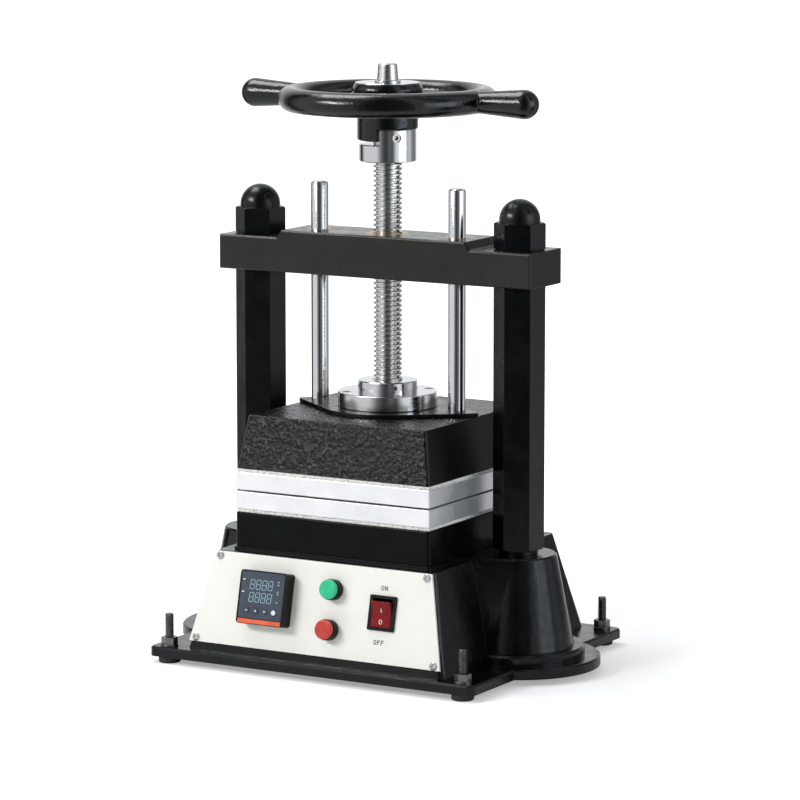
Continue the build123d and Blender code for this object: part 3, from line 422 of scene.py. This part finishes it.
# ---- Blocks behind the heated plates -----------------------------------------------------------
# Heavy iron blocks, sprayed black. The upper one narrows towards the top, carries the thrust flange
# and keeps the raw grain of the sand mould, except on its ground ends. The lower one is smooth.

block_enamel, block_shader = new_finish("block_enamel", (0.003, 0.003, 0.0031), 0.3)
block_shader.inputs["Specular IOR Level"].default_value = 0.25
block_nodes, block_links = block_enamel.node_tree.nodes, block_enamel.node_tree.links
facing = block_nodes.new("ShaderNodeTexCoord")
facing_axes = block_nodes.new("ShaderNodeSeparateXYZ")
sideways = block_nodes.new("ShaderNodeMath")
sideways.operation = "ABSOLUTE"
rawness = block_nodes.new("ShaderNodeMapRange")  # the ends of the block are ground, the rest is raw
rawness.inputs["From Min"].default_value = 0.5
rawness.inputs["From Max"].default_value = 0.8
rawness.inputs["To Min"].default_value = 1.0
rawness.inputs["To Max"].default_value = 0.1
block_links.new(facing.outputs["Normal"], facing_axes.inputs["Vector"])
block_links.new(facing_axes.outputs["X"], sideways.inputs[0])
block_links.new(sideways.outputs["Value"], rawness.inputs["Value"])


def on_raw_faces(height):
    """A pattern that fades out on the ground ends."""
    product = block_nodes.new("ShaderNodeMath")
    product.operation = "MULTIPLY"
    block_links.new(height, product.inputs[0])
    block_links.new(rawness.outputs["Result"], product.inputs[1])
    return product.outputs["Value"]


sand_and_painted_highlights = on_raw_faces(cells(block_enamel, 300.0, detail=3.0))
lumps = on_raw_faces(cells(block_enamel, 130.0, detail=2.0))
grains = on_raw_faces(cells(block_enamel, 900.0, detail=2.0))
# The raised tops of the sand grains are painted pale grey over the black enamel: painted highlights. The same
# pattern gives the grain its bumps.
vary(
    block_enamel,
    block_shader,
    "Base Color",
    sand_and_painted_highlights,
    (0.0016, 0.0016, 0.0017),
    (0.06, 0.061, 0.063),
    0.55,
    0.72,
)
vary(block_enamel, block_shader, "Roughness", lumps, 0.3, 0.16, 0.3, 0.7)
relief(block_enamel, block_shader, (lumps, 0.0009), (sand_and_painted_highlights, 0.0013), (grains, 0.0003))
BLOCK_EDGE = 0.0012
eased("upper_block", BLOCK_EDGE, block_enamel, "block_casting")
ground_enamel = gloss_enamel(
    "ground_enamel",
    (0.0012, 0.0013, 0.0014),
    (0.003, 0.0031, 0.0033),
    0.0001,
    0.00006,
    (0.16, 0.26),
    0.12,
)
eased("lower_block", BLOCK_EDGE, ground_enamel, "block_casting")

# ---- Heated plates -----------------------------------------------------------------------------
# Aluminium plates with milled edges, drilled from the rear for four cartridge heaters and a probe,
# each backed by a sheet of pale insulating board that shows as a thin light line.

MILLED_EDGE = 0.0003
milled = bare_metal("milled_aluminium", (0.93, 0.93, 0.945), (0.4, 0.5), (1, 1, 0.12), 700.0, 0.000008, 0.92)
for node in ("lower_heating_plate", "upper_heating_plate"):
    eased(node, MILLED_EDGE, milled, "plate_aluminium", 2)

board, board_shader = new_finish("insulating_board", (0.62, 0.61, 0.57), 0.85)
fibres = cells(board, 600.0, (1, 1, 2), 4.0)
vary(board, board_shader, "Base Color", fibres, (0.36, 0.355, 0.34), (0.8, 0.79, 0.75), 0.36, 0.5)
relief(board, board_shader, (fibres, 0.0003))
for node in ("lower_insulation_sheet", "upper_insulation_sheet"):
    eased(node, 0.0004, board, "insulation", 2)

sheath = bare_metal("heater_sheath", (0.4, 0.37, 0.33), (0.35, 0.55), (1, 0.1, 1))
for side in ("lower", "upper"):
    dress(side + "_heaters", sheath)
    dress(side + "_temperature_probe", sheath)

# ---- Thrust flange -----------------------------------------------------------------------------
# Turned steel: a broad flange bolted through the black lens-shaped plate into the upper block, and
# a collar over it that keeps the screw's foot on its thrust bearing. Faced and polished bright.

TURNED_EDGE = 0.0003
turned = bare_metal("turned_steel", (0.70, 0.70, 0.71), (0.1, 0.2), (0.1, 0.1, 12), 300.0, 0.000004)
plate_enamel, plate_shader = new_finish("plate_enamel", (0.003, 0.003, 0.0034), 0.22)
plate_shader.inputs["Specular IOR Level"].default_value = 0.3
vary(plate_enamel, plate_shader, "Roughness", cells(plate_enamel, 120.0), 0.18, 0.32)
plate_skin = cells(plate_enamel, 300.0)
relief(plate_enamel, plate_shader, (plate_skin, 0.0001), (cells(plate_enamel, 900.0), 0.00003))
eased("lozenge_plate", 0.0005, plate_enamel, "block_casting", 2)
for node in ("thrust_flange", "retaining_collar"):
    eased(node, TURNED_EDGE, turned, "turned_steel", 2)
dress("thrust_bearing", turned)
eased("flange_screws", 0.0002, blackened, "dark_screws", 2)

# ---- Press screw -------------------------------------------------------------------------------
# Bright steel screw with a trapezoidal thread, 26 mm over its crests and 4.4 mm to a turn. Its
# plain head carries the striking collar and the handwheel, and ends in a tapered stub.

SCREW_LEAD = 0.0044
SCREW_CREST = 0.013
SCREW_DEPTH = 0.0021
SCREW_FLAT = 0.34  # share of the lead that is crest, and the share that is root
screw_low, screw_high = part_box("press_screw")
strike_low, strike_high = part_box("strike_collar")
ring_low, ring_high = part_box("snap_ring")
journal = 0.010
journal_length = 0.0088
foot_radius = 0.017
foot_thickness = 0.0028
collar_cover = 0.002  # the thread ends this far inside the striking collar
groove = 0.009
stub_neck = 0.0094
stub_neck_height = 0.0006
stub_foot = 0.0098
stub_tip = 0.0087
tip_chamfer = 0.0008
foot_low = screw_low.z + journal_length
foot_high = foot_low + foot_thickness
thread_top = strike_low.z + collar_cover
hub_foot = strike_high.z
screw_form = bmesh.new()
crest, depth, lead, flat = SCREW_CREST, SCREW_DEPTH, SCREW_LEAD, SCREW_FLAT
thread(screw_form, (0, 0), foot_high, thread_top, crest, depth, lead, flat, flat, 96)
lathe(screw_form, [
    (0, screw_low.z),
    (journal, screw_low.z),
    (journal, foot_low),
    (foot_radius, foot_low),
    (foot_radius, foot_high),
    (0, foot_high),
])
lathe(screw_form, [
    (0, thread_top),
    (SCREW_CREST, thread_top),
    (SCREW_CREST, hub_foot),
    (journal, hub_foot),
    (journal, ring_low.z),
    (groove, ring_low.z),
    (groove, ring_high.z),
    (stub_neck, ring_high.z),
    (stub_foot, ring_high.z + stub_neck_height),
    (stub_tip, screw_high.z - tip_chamfer),
    (stub_tip - tip_chamfer, screw_high.z),
    (0, screw_high.z),
])
screw_steel = bare_metal("screw_steel", (0.66, 0.655, 0.65), (0.16, 0.28), (0.2, 0.2, 2), 500.0, 0.000006)
new_piece("press_screw_threaded", mesh_of("press_screw_threaded", screw_form), screw_steel, "screw",
          "turned_steel", "press_screw")
eased("strike_collar", TURNED_EDGE, turned, "turned_steel", 2)
dress("strike_grub_screw", turned)
dress("snap_ring", turned)

# ---- Handwheel ---------------------------------------------------------------------------------
# One iron casting: hub with its striking jaw, four spokes, rim and two thick grips, all run into
# each other by cast fillets. Black gloss enamel over it, with the top of the hub faced bright.

VOXEL = 0.0009
FILLET_PASSES = 14
FACED = 0.0004
hub_radius = 0.029
bore = 0.01005
ring_gap = 0.0003

wheel_copy = clean_copy("handwheel")
wheel_mesh = bpy.data.meshes.new("handwheel_casting")
bmesh.ops.triangulate(wheel_copy, faces=wheel_copy.faces)
wheel_copy.to_mesh(wheel_mesh)
wheel_copy.free()
rough_wheel = bpy.data.objects.new("rough_wheel", wheel_mesh)
bpy.context.scene.collection.objects.link(rough_wheel)
remesh = rough_wheel.modifiers.new("sand_cast", "REMESH")
remesh.mode = "VOXEL"
remesh.voxel_size = VOXEL
fillets = rough_wheel.modifiers.new("cast_fillets", "SMOOTH")
fillets.factor = 0.5
fillets.iterations = FILLET_PASSES
bpy.context.view_layer.update()
cast = bpy.data.meshes.new_from_object(rough_wheel.evaluated_get(bpy.context.evaluated_depsgraph_get()))
bpy.data.objects.remove(rough_wheel)
wheel_form = bmesh.new()
wheel_form.from_mesh(cast)
bpy.data.meshes.remove(cast)
hub_top = ring_low.z - ring_gap
bmesh.ops.bisect_plane(
    wheel_form,
    geom=wheel_form.verts[:] + wheel_form.edges[:] + wheel_form.faces[:],
    plane_co=(0, 0, hub_top - FACED),
    plane_no=(0, 0, 1),
    clear_outer=True,
)
bmesh.ops.holes_fill(wheel_form, edges=[e for e in wheel_form.edges if e.is_boundary], sides=0)
wheel_enamel = gloss_enamel("wheel_enamel", (0.0014, 0.0015, 0.0017), (0.003, 0.0032, 0.0037), 0.0002, 0.0002,
                            (0.04, 0.08), 0.45)
new_piece("handwheel_casting", mesh_of("handwheel_casting", wheel_form), wheel_enamel, "wheel",
          "wheel_enamel", "handwheel")
hub_face = bmesh.new()
lathe(hub_face, [
    (bore, hub_top - 3 * FACED),
    (hub_radius, hub_top - 3 * FACED),
    (hub_radius, hub_top - FACED / 2),
    (hub_radius - FACED / 2, hub_top),
    (bore + FACED / 2, hub_top),
    (bore, hub_top - FACED / 2),
    (bore, hub_top - 3 * FACED),
])
bmesh.ops.remove_doubles(hub_face, verts=hub_face.verts, dist=WELD)
new_piece("hub_faced_top", mesh_of("hub_faced_top", hub_face), turned, "wheel", "wheel_enamel")

# ---- Control panel -----------------------------------------------------------------------------
# Cream painted sheet steel, screwed to the sloping front of the housing with four bright cross
# head screws. ON and OFF are printed above and below the switch.

LEAN = radians(12.9)
panel_low, panel_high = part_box("control_panel")
panel_thickness = 0.002
panel_out = Vector((0, -cos(LEAN), sin(LEAN)))
panel_up = Vector((0, sin(LEAN), cos(LEAN)))
panel_middle = (panel_low + panel_high) / 2 + panel_out * panel_thickness / 2
panel_turn = Matrix((Vector((1, 0, 0)), panel_up, panel_out)).transposed().to_4x4()


def on_panel(x, y, proud=0.0):
    """Placement of something on the panel: x along it, y up its slope, in metres from its middle."""
    spot = panel_middle + Vector((1, 0, 0)) * x + panel_up * y + panel_out * proud
    return Matrix.Translation(spot) @ panel_turn


cream, cream_shader = new_finish("cream_paint", (0.88, 0.87, 0.81), 0.32)
vary(cream, cream_shader, "Base Color", cells(cream, 12.0), (0.86, 0.85, 0.79), (0.9, 0.89, 0.83))
relief(cream, cream_shader, (cells(cream, 650.0), 0.000015))
eased("control_panel", 0.0004, cream, "panel_cream", 2)
bright_screw = bare_metal("bright_screw", (0.55, 0.55, 0.56), (0.12, 0.25))
eased("panel_screws", 0.00025, bright_screw, "bright_screws", 2)

INK_RISE = 0.00012
ink, ink_shader = new_finish("printing_ink", (0.02, 0.02, 0.022), 0.5)
relief(ink, ink_shader, (cells(ink, 2000.0), 0.000005))


def flat_mark(name, outlines, place, finish, body, slot, rise=INK_RISE):
    """Printed or moulded marks: flat outlines on a plane, raised by a hair."""
    form = bmesh.new()
    for outline in outlines:
        floor = form.faces.new([form.verts.new((x, y, 0)) for x, y in outline])
        if floor.normal.z < 0:
            floor.normal_flip()
        raised = bmesh.ops.extrude_face_region(form, geom=[floor])["geom"]
        lid = [g for g in raised if isinstance(g, bmesh.types.BMVert)]
        bmesh.ops.translate(form, verts=lid, vec=(0, 0, rise))
    bmesh.ops.transform(form, matrix=place, verts=form.verts)
    mesh = mesh_of(name, form, smooth=False)
    return new_piece(name, mesh, finish, body, slot)


def bar(x0, y0, x1, y1):
    """A rectangle as an outline."""
    return [(x0, y0), (x1, y0), (x1, y1), (x0, y1)]


def ring_outlines(x, y, half_width, half_height, line, steps=32):
    """An oval ring as a row of short pieces."""
    pieces = []
    for i in range(steps):
        corners = []
        for turn, shrink in ((i, 0), (i + 1, 0), (i + 1, line), (i, line)):
            angle = tau * turn / steps
            corners.append((x + (half_width - shrink) * cos(angle), y + (half_height - shrink) * sin(angle)))
        pieces.append(corners)
    return pieces


def letter_strokes(letter, x, height, line):
    """Upright sans-serif capitals, centred on x, as outlines."""
    half = 0.36 * height
    low, high = -height / 2, height / 2
    if letter == "O":
        return ring_outlines(x, 0, half, high, line)
    if letter == "N":
        slant = [(x - half, high), (x - half + line, high), (x + half, low), (x + half - line, low)]
        return [bar(x - half, low, x - half + line, high), bar(x + half - line, low, x + half, high), slant]
    middle = 0.02 * height
    return [
        bar(x - half, low, x - half + line, high),
        bar(x - half + line, high - line, x + half, high),
        bar(x - half + line, middle - line / 2, x + half * 0.7, middle + line / 2),
    ]


LETTER = 0.0042
LETTER_LINE = 0.0007
LETTER_PITCH = 0.0038
switch_x = 0.0664
switch_y = 0.0027
WORD_X = switch_x - 0.0008
for word, y in (("ON", 0.0248), ("OFF", -0.0232)):
    strokes = []
    for i, letter in enumerate(word):
        strokes += letter_strokes(letter, LETTER_PITCH * (i - (len(word) - 1) / 2), LETTER, LETTER_LINE)
    flat_mark("word_" + word.lower(), strokes, on_panel(WORD_X, y), ink, "press_frame", "panel_cream")

# ---- Temperature controller --------------------------------------------------------------------
# A square black panel instrument: fascia film with two rows of seven-segment digits, four keys
# below them and an orange stripe along the bottom of the bezel. It is clipped in from the front.

METER_PROUD = 0.014
METER_X = -0.0505
METER_Y = 0.0035
plastic, plastic_shader = new_finish("black_plastic", (0.004, 0.004, 0.0045), 0.36)
plastic_shader.inputs["Specular IOR Level"].default_value = 0.15
vary(plastic, plastic_shader, "Roughness", cells(plastic, 400.0), 0.3, 0.42)
relief(plastic, plastic_shader, (cells(plastic, 1500.0), 0.00002))
eased("temperature_controller", 0.0005, plastic, "black_plastic", 2)

film, film_shader = new_finish("fascia_film", (0.045, 0.062, 0.085), 0.16)
vary(film, film_shader, "Base Color", cells(film, 25.0), (0.040, 0.056, 0.078), (0.055, 0.075, 0.10))
relief(film, film_shader, (cells(film, 300.0), 0.000004))
eased("controller_window", 0.0002, film, "window_film", 2)
for key in ("set", "shift", "down", "up"):
    eased(key + "_key", 0.0003, film, "window_film", 2)

# The digit segments are unlit, but a faint emission makes them glow: a painted glow.
painted_glow_segments, painted_glow_shader = new_finish("display_segments_painted_glow", (0.3, 0.46, 0.52), 0.4)
painted_glow_shader.inputs["Emission Color"].default_value = (0.35, 0.6, 0.7, 1)
painted_glow_shader.inputs["Emission Strength"].default_value = 0.12
vary(painted_glow_segments, painted_glow_shader, "Base Color", cells(painted_glow_segments, 900.0), (0.26, 0.42, 0.48), (0.34, 0.5, 0.56))

DIGIT_HEIGHT = 0.0082
DIGIT_WIDTH = 0.0042
DIGIT_PITCH = 0.0062
SEGMENT = 0.0005
SEGMENT_GAP = 0.0002
SLANT = 0.09
DIGITS_X = -0.0516


def segment(x0, y0, x1, y1):
    """One pointed bar of a digit, from end to end."""
    along = Vector((x1 - x0, y1 - y0)).normalized()
    across = Vector((-along.y, along.x)) * SEGMENT / 2
    first = Vector((x0, y0)) + along * SEGMENT_GAP
    last = Vector((x1, y1)) - along * SEGMENT_GAP
    inset = along * SEGMENT / 2
    points = (
        first,
        first + inset - across,
        last - inset - across,
        last,
        last - inset + across,
        first + inset + across,
    )
    return [(p.x + SLANT * p.y, p.y) for p in points]


def digit(x):
    """All seven bars of a digit centred on x."""
    left, right, top = x - DIGIT_WIDTH / 2, x + DIGIT_WIDTH / 2, DIGIT_HEIGHT / 2
    return [segment(left, level, right, level) for level in (-top, 0, top)] + [
        segment(edge, start, edge, start + top) for edge in (left, right) for start in (-top, 0)
    ]


for row, y in (("upper", 0.0150), ("lower", 0.0036)):
    bars = [outline for i in range(4) for outline in digit(DIGIT_PITCH * (i - 1.5))]
    flat_mark(row + "_digits", bars, on_panel(DIGITS_X, y, METER_PROUD), painted_glow_segments, "press_frame", "window_film")

pale, pale_shader = new_finish("pale_print", (0.72, 0.76, 0.8), 0.45)
relief(pale, pale_shader, (cells(pale, 2000.0), 0.000005))
INDICATOR_X = -0.0342
ROW_MARK_X = -0.0701
indicator = [bar(-0.0007, -0.00035, 0.0007, 0.00035)]
for i, y in enumerate((0.0190, 0.0165, 0.0105, 0.0085, 0.0010)):
    indicator_place = on_panel(INDICATOR_X, y, METER_PROUD)
    flat_mark(f"indicator_{i}", indicator, indicator_place, pale, "press_frame", "window_film")
row_mark = [bar(-0.0011, -0.0005, 0.0011, 0.0005)]
for i, y in enumerate((0.0188, 0.0078)):
    row_mark_place = on_panel(ROW_MARK_X, y, METER_PROUD)
    flat_mark(f"row_mark_{i}", row_mark, row_mark_place, pale, "press_frame", "window_film")

KEY_PROUD = METER_PROUD + 0.0005
KEY_X = METER_X - 0.014
KEY_PITCH = 0.0094
KEY_Y = METER_Y - 0.0118
SIGN = 0.0011
key_signs = {
    "set": [bar(-SIGN, -SIGN / 3, SIGN, SIGN / 3)],
    "shift": [[(-SIGN, 0), (SIGN * 0.6, -SIGN), (SIGN * 0.6, SIGN)]],
    "down": [[(0, -SIGN), (SIGN, SIGN * 0.6), (-SIGN, SIGN * 0.6)]],
    "up": [[(2 * SIGN * cos(tau * i / 40), 2 * SIGN * sin(tau * i / 40)) for i in range(40)]],
}
for i, (key, outlines) in enumerate(key_signs.items()):
    sign_place = on_panel(KEY_X + KEY_PITCH * i, KEY_Y, KEY_PROUD)
    flat_mark(key + "_key_sign", outlines, sign_place, pale, key + "_key", "window_film")

stripe_paint, stripe_shader = new_finish("stripe_paint", (0.75, 0.09, 0.03), 0.4)
stripe_clouds = cells(stripe_paint, 60.0)
vary(stripe_paint, stripe_shader, "Base Color", stripe_clouds, (0.7, 0.075, 0.025), (0.8, 0.12, 0.04))
STRIPE_HALF = 0.0222
STRIPE_RISE = 0.0019
STRIPE_DROP = 0.0214
stripe = [bar(-STRIPE_HALF, -STRIPE_RISE, STRIPE_HALF, STRIPE_RISE)]
stripe_place = on_panel(METER_X, METER_Y - STRIPE_DROP, METER_PROUD)
flat_mark("bezel_stripe", stripe, stripe_place, stripe_paint, "press_frame", "black_plastic")

# ---- Pilot lamps -------------------------------------------------------------------------------
# Round black holders nutted behind the panel, each with a translucent moulded lens pressed in:
# green for power above, red for heat below.


def lamp_glass(name, colour, deep):
    """Translucent moulded plastic that glows a little by its own colour."""
    finish, shader = new_finish(name, colour, 0.2)
    vary(finish, shader, "Base Color", cells(finish, 220.0), deep, colour)
    shader.inputs["Subsurface Weight"].default_value = 0.35
    shader.inputs["Subsurface Radius"].default_value = colour
    shader.inputs["Subsurface Scale"].default_value = 0.003
    relief(finish, shader, (cells(finish, 260.0), 0.00006))
    return finish


for node in ("power_lamp_holder", "heat_lamp_holder"):
    eased(node, 0.0003, plastic, "black_plastic", 2)
LENS_EDGE = 0.0002
green_glass = lamp_glass("green_glass", (0.03, 0.60, 0.30), (0.02, 0.5, 0.24))
eased("power_lamp_lens", LENS_EDGE, green_glass, "green_lens", 2)
red_glass = lamp_glass("red_glass", (0.62, 0.055, 0.035), (0.52, 0.04, 0.025))
eased("heat_lamp_lens", LENS_EDGE, red_glass, "red_lens", 2)

# ---- Rocker switch -----------------------------------------------------------------------------
# Snap-in mains switch: black frame, translucent red rocker on two pins. It stands at OFF with its
# upper end out, and carries a line for on and a ring for off, moulded in white.

eased("switch_body", 0.0003, plastic, "black_plastic", 2)
rocker_red, rocker_shader = new_finish("rocker_red", (0.3, 0.006, 0.008), 0.14)
rocker_clouds = cells(rocker_red, 90.0)
vary(rocker_red, rocker_shader, "Base Color", rocker_clouds, (0.16, 0.003, 0.004), (0.24, 0.005, 0.006))
rocker_shader.inputs["Specular IOR Level"].default_value = 0.25
rocker_shader.inputs["Subsurface Weight"].default_value = 0.1
rocker_shader.inputs["Subsurface Radius"].default_value = (1.0, 0.1, 0.1)
rocker_shader.inputs["Subsurface Scale"].default_value = 0.003
eased("rocker", 0.0006, rocker_red, "red_rocker")

PIVOT_SUNK = 0.002
HALF_SWING = radians(10)
DIP = 0.0022
LIFT = 0.0042
HALF_LENGTH = 0.0115
white, white_shader = new_finish("white_mark", (0.85, 0.85, 0.83), 0.45)
relief(white, white_shader, (cells(white, 2000.0), 0.000005))


def on_rocker(side, share):
    """Placement on the rocker's upper (1) or lower (-1) slope, at a share of the way to its end."""
    swing = Matrix.Translation((0, 0, -PIVOT_SUNK)) @ Matrix.Rotation(HALF_SWING, 4, "X")
    swing = swing @ Matrix.Translation((0, 0, PIVOT_SUNK))
    slope = Matrix.Rotation((LIFT - DIP) / HALF_LENGTH * side, 4, "X")
    spot = Matrix.Translation((0, side * share * HALF_LENGTH, DIP + share * (LIFT - DIP)))
    return on_panel(switch_x, switch_y) @ swing @ spot @ slope


on_line = [bar(-0.0004, -0.0018, 0.0004, 0.0018)]
off_ring = ring_outlines(0, 0, 0.0016, 0.0021, 0.00055)
flat_mark("on_line", on_line, on_rocker(1, 0.28), white, "rocker", "red_rocker")
flat_mark("off_ring", off_ring, on_rocker(-1, 0.6), white, "rocker", "red_rocker")

# ---- Electrics ---------------------------------------------------------------------------------
# Inside the housing, reached from below: a relay for the heaters and a terminal block. The supply
# comes in through a black gland in the rear wall.

relay_case, relay_shader = new_finish("relay_case", (0.55, 0.54, 0.5), 0.5)
relief(relay_case, relay_shader, (cells(relay_case, 1200.0), 0.00003))
dress("heater_relay", relay_case)
terminal_case, terminal_shader = new_finish("terminal_case", (0.68, 0.66, 0.58), 0.5)
relief(terminal_case, terminal_shader, (cells(terminal_case, 1200.0), 0.00003))
dress("terminal_block", terminal_case)
eased("cable_gland", 0.0004, plastic, "black_plastic", 2)

# ---- Studio ------------------------------------------------------------------------------------
# White floor that turns into a white room, a wide soft box from the upper left, a bluish one from
# the right and one from above. The camera stands where the photograph was taken.


def aim(thing, place, target):
    """Stands a lamp or camera at a place and points it at a target."""
    thing.location = place
    thing.rotation_euler = (Vector(target) - Vector(place)).to_track_quat("-Z", "Y").to_euler()


def softbox(name, place, target, width, height, watts, colour=(1, 1, 1)):
    """A rectangular lamp."""
    light = bpy.data.lights.new(name, "AREA")
    light.shape = "RECTANGLE"
    light.size = width
    light.size_y = height
    light.energy = watts
    light.color = colour
    lamp = bpy.data.objects.new(name, light)
    bpy.context.scene.collection.objects.link(lamp)
    aim(lamp, place, target)


MIDDLE = (0, 0, 0.26)
softbox("key_box", (-1.1, -1.9, 1.3), MIDDLE, 1.1, 0.4, 31.0)
softbox("right_box", (2.0, 0.1, 0.7), MIDDLE, 1.1, 1.2, 11.0, (0.78, 0.9, 1.0))
softbox("top_box", (-0.75, 0.0, 2.0), MIDDLE, 0.9, 0.9, 20.0)

AZIMUTH = radians(30.12)
TOWARDS_CAMERA = (sin(AZIMUTH), -cos(AZIMUTH), 0)
CAMERA_RIGHT = (cos(AZIMUTH), sin(AZIMUTH), 0)
# Grey cards stand round the press in a white room: degrees right of the camera's side, brightness
CARDS = (
    (-180, 1.0), (-145, 0.9), (-134, 0.02), (-122, 0.02), (-106, 0.85), (-44, 0.85),
    (-26, 0.2), (-15, 0.07), (-4, 0.04), (8, 0.16), (20, 0.08), (28, 0.5),
    (36, 1.0), (52, 1.0), (59, 0.05), (68, 0.05), (80, 0.55), (100, 0.8),
    (114, 0.25), (138, 0.25), (155, 0.9), (180, 1.0),
)


def room_seen(tree, vector):
    """The white room with its grey cards, as it appears in the direction of a vector."""
    nodes, links = tree.nodes, tree.links
    shares = []
    for axis in (CAMERA_RIGHT, TOWARDS_CAMERA):
        share = nodes.new("ShaderNodeVectorMath")
        share.operation = "DOT_PRODUCT"
        share.inputs[1].default_value = axis
        links.new(vector, share.inputs[0])
        shares.append(share.outputs["Value"])
    bearing = nodes.new("ShaderNodeMath")
    bearing.operation = "ARCTAN2"
    links.new(shares[0], bearing.inputs[0])
    links.new(shares[1], bearing.inputs[1])
    span = nodes.new("ShaderNodeMapRange")
    span.inputs["From Min"].default_value = -pi
    span.inputs["From Max"].default_value = pi
    links.new(bearing.outputs["Value"], span.inputs["Value"])
    ramp = nodes.new("ShaderNodeValToRGB")
    stops = ramp.color_ramp.elements
    while len(stops) < len(CARDS):
        stops.new(0.5)
    for stop, (degrees, brightness) in zip(stops, CARDS):
        stop.position = (degrees + 180) / 360
        stop.color = (0.96 * brightness, 0.99 * brightness, brightness, 1)
    links.new(span.outputs["Result"], ramp.inputs["Fac"])
    return ramp.outputs["Color"]


world = bpy.data.worlds.new("studio_world")
world.use_nodes = True
bpy.context.scene.world = world
world_nodes, world_links = world.node_tree.nodes, world.node_tree.links
soft_light = world_nodes["Background"]
soft_light.inputs["Color"].default_value = (0.9, 0.92, 0.95, 1)
soft_light.inputs["Strength"].default_value = 0.38
sweep = world_nodes.new("ShaderNodeBackground")
sweep.inputs["Color"].default_value = (1, 1, 1, 1)
sweep.inputs["Strength"].default_value = 1.0
direction = world_nodes.new("ShaderNodeTexCoord")
reflected = world_nodes.new("ShaderNodeBackground")
world_links.new(room_seen(world.node_tree, direction.outputs["Generated"]), reflected.inputs["Color"])
path = world_nodes.new("ShaderNodeLightPath")
mirror_ray = world_nodes.new("ShaderNodeMath")
mirror_ray.operation = "MAXIMUM"
shiny = world_nodes.new("ShaderNodeMixShader")
seen = world_nodes.new("ShaderNodeMixShader")
world_links.new(path.outputs["Is Glossy Ray"], mirror_ray.inputs[0])
world_links.new(path.outputs["Is Transmission Ray"], mirror_ray.inputs[1])
world_links.new(mirror_ray.outputs["Value"], shiny.inputs["Fac"])
world_links.new(soft_light.outputs["Background"], shiny.inputs[1])
world_links.new(reflected.outputs["Background"], shiny.inputs[2])
world_links.new(path.outputs["Is Camera Ray"], seen.inputs["Fac"])
world_links.new(shiny.outputs["Shader"], seen.inputs[1])
world_links.new(sweep.outputs["Background"], seen.inputs[2])
world_links.new(seen.outputs["Shader"], world_nodes["World Output"].inputs["Surface"])

FLOOR_HALF = 14.0
floor_form = bmesh.new()
floor_outline = bar(-FLOOR_HALF, -FLOOR_HALF, FLOOR_HALF, FLOOR_HALF)
floor_form.faces.new([floor_form.verts.new((x, y, 0)) for x, y in floor_outline])
floor_mesh = mesh_of("floor", floor_form, smooth=False)
floor = bpy.data.objects.new("floor", floor_mesh)
bpy.context.scene.collection.objects.link(floor)
paper, paper_shader = new_finish("paper_sweep", (0.86, 0.86, 0.86), 0.95)
paper_nodes, paper_links = paper.node_tree.nodes, paper.node_tree.links


def distance_ramp(near, far, near_value, far_value):
    """A number that changes with the distance from the press."""
    distance = paper_nodes.new("ShaderNodeVectorMath")
    distance.operation = "LENGTH"
    span = paper_nodes.new("ShaderNodeMapRange")
    span.inputs["From Min"].default_value = near
    span.inputs["From Max"].default_value = far
    span.inputs["To Min"].default_value = near_value
    span.inputs["To Max"].default_value = far_value
    paper_links.new(spot.outputs["Object"], distance.inputs[0])
    paper_links.new(distance.outputs["Value"], span.inputs["Value"])
    return span.outputs["Result"]


# The camera sees the paper with its shadow brighten into the white backdrop, and mirrored rays see
# it turn into the room with its grey cards
spot = paper_nodes.new("ShaderNodeTexCoord")
paper_path = paper_nodes.new("ShaderNodeLightPath")
lift = paper_nodes.new("ShaderNodeEmission")
paper_links.new(distance_ramp(0.25, 0.75, 0.35, 1.0), lift.inputs["Strength"])
lifted = paper_nodes.new("ShaderNodeAddShader")
far_room = paper_nodes.new("ShaderNodeEmission")
paper_links.new(room_seen(paper.node_tree, spot.outputs["Object"]), far_room.inputs["Color"])
far_share = paper_nodes.new("ShaderNodeMath")
far_share.operation = "MULTIPLY"
paper_links.new(paper_path.outputs["Is Glossy Ray"], far_share.inputs[0])
paper_links.new(distance_ramp(0.4, 0.8, 0.0, 1.0), far_share.inputs[1])
for_mirrors = paper_nodes.new("ShaderNodeMixShader")
for_camera = paper_nodes.new("ShaderNodeMixShader")
paper_links.new(paper_shader.outputs["BSDF"], lifted.inputs[0])
paper_links.new(lift.outputs["Emission"], lifted.inputs[1])
paper_links.new(far_share.outputs["Value"], for_mirrors.inputs["Fac"])
paper_links.new(paper_shader.outputs["BSDF"], for_mirrors.inputs[1])
paper_links.new(far_room.outputs["Emission"], for_mirrors.inputs[2])
paper_links.new(paper_path.outputs["Is Camera Ray"], for_camera.inputs["Fac"])
paper_links.new(for_mirrors.outputs["Shader"], for_camera.inputs[1])
paper_links.new(lifted.outputs["Shader"], for_camera.inputs[2])
paper_links.new(for_camera.outputs["Shader"], paper_nodes["Material Output"].inputs["Surface"])
floor_mesh.materials.append(paper)

ELEVATION = radians(8.81)
DISTANCE = 3.67274
SENSOR = 36.0
LENS = 183.04
LOOK_HEIGHT = 0.23299
LOOK_ASIDE = 0.011
target = Vector((0, 0, LOOK_HEIGHT)) + Vector(CAMERA_RIGHT) * LOOK_ASIDE
back = Vector((sin(AZIMUTH) * cos(ELEVATION), -cos(AZIMUTH) * cos(ELEVATION), sin(ELEVATION)))
camera_data = bpy.data.cameras.new("camera")
camera_data.sensor_width = SENSOR
camera_data.lens = LENS
camera_data.clip_end = 50.0
camera = bpy.data.objects.new("camera", camera_data)
bpy.context.scene.collection.objects.link(camera)
aim(camera, target + back * DISTANCE, target)
bpy.context.scene.camera = camera
bpy.context.scene.view_settings.view_transform = "Standard"
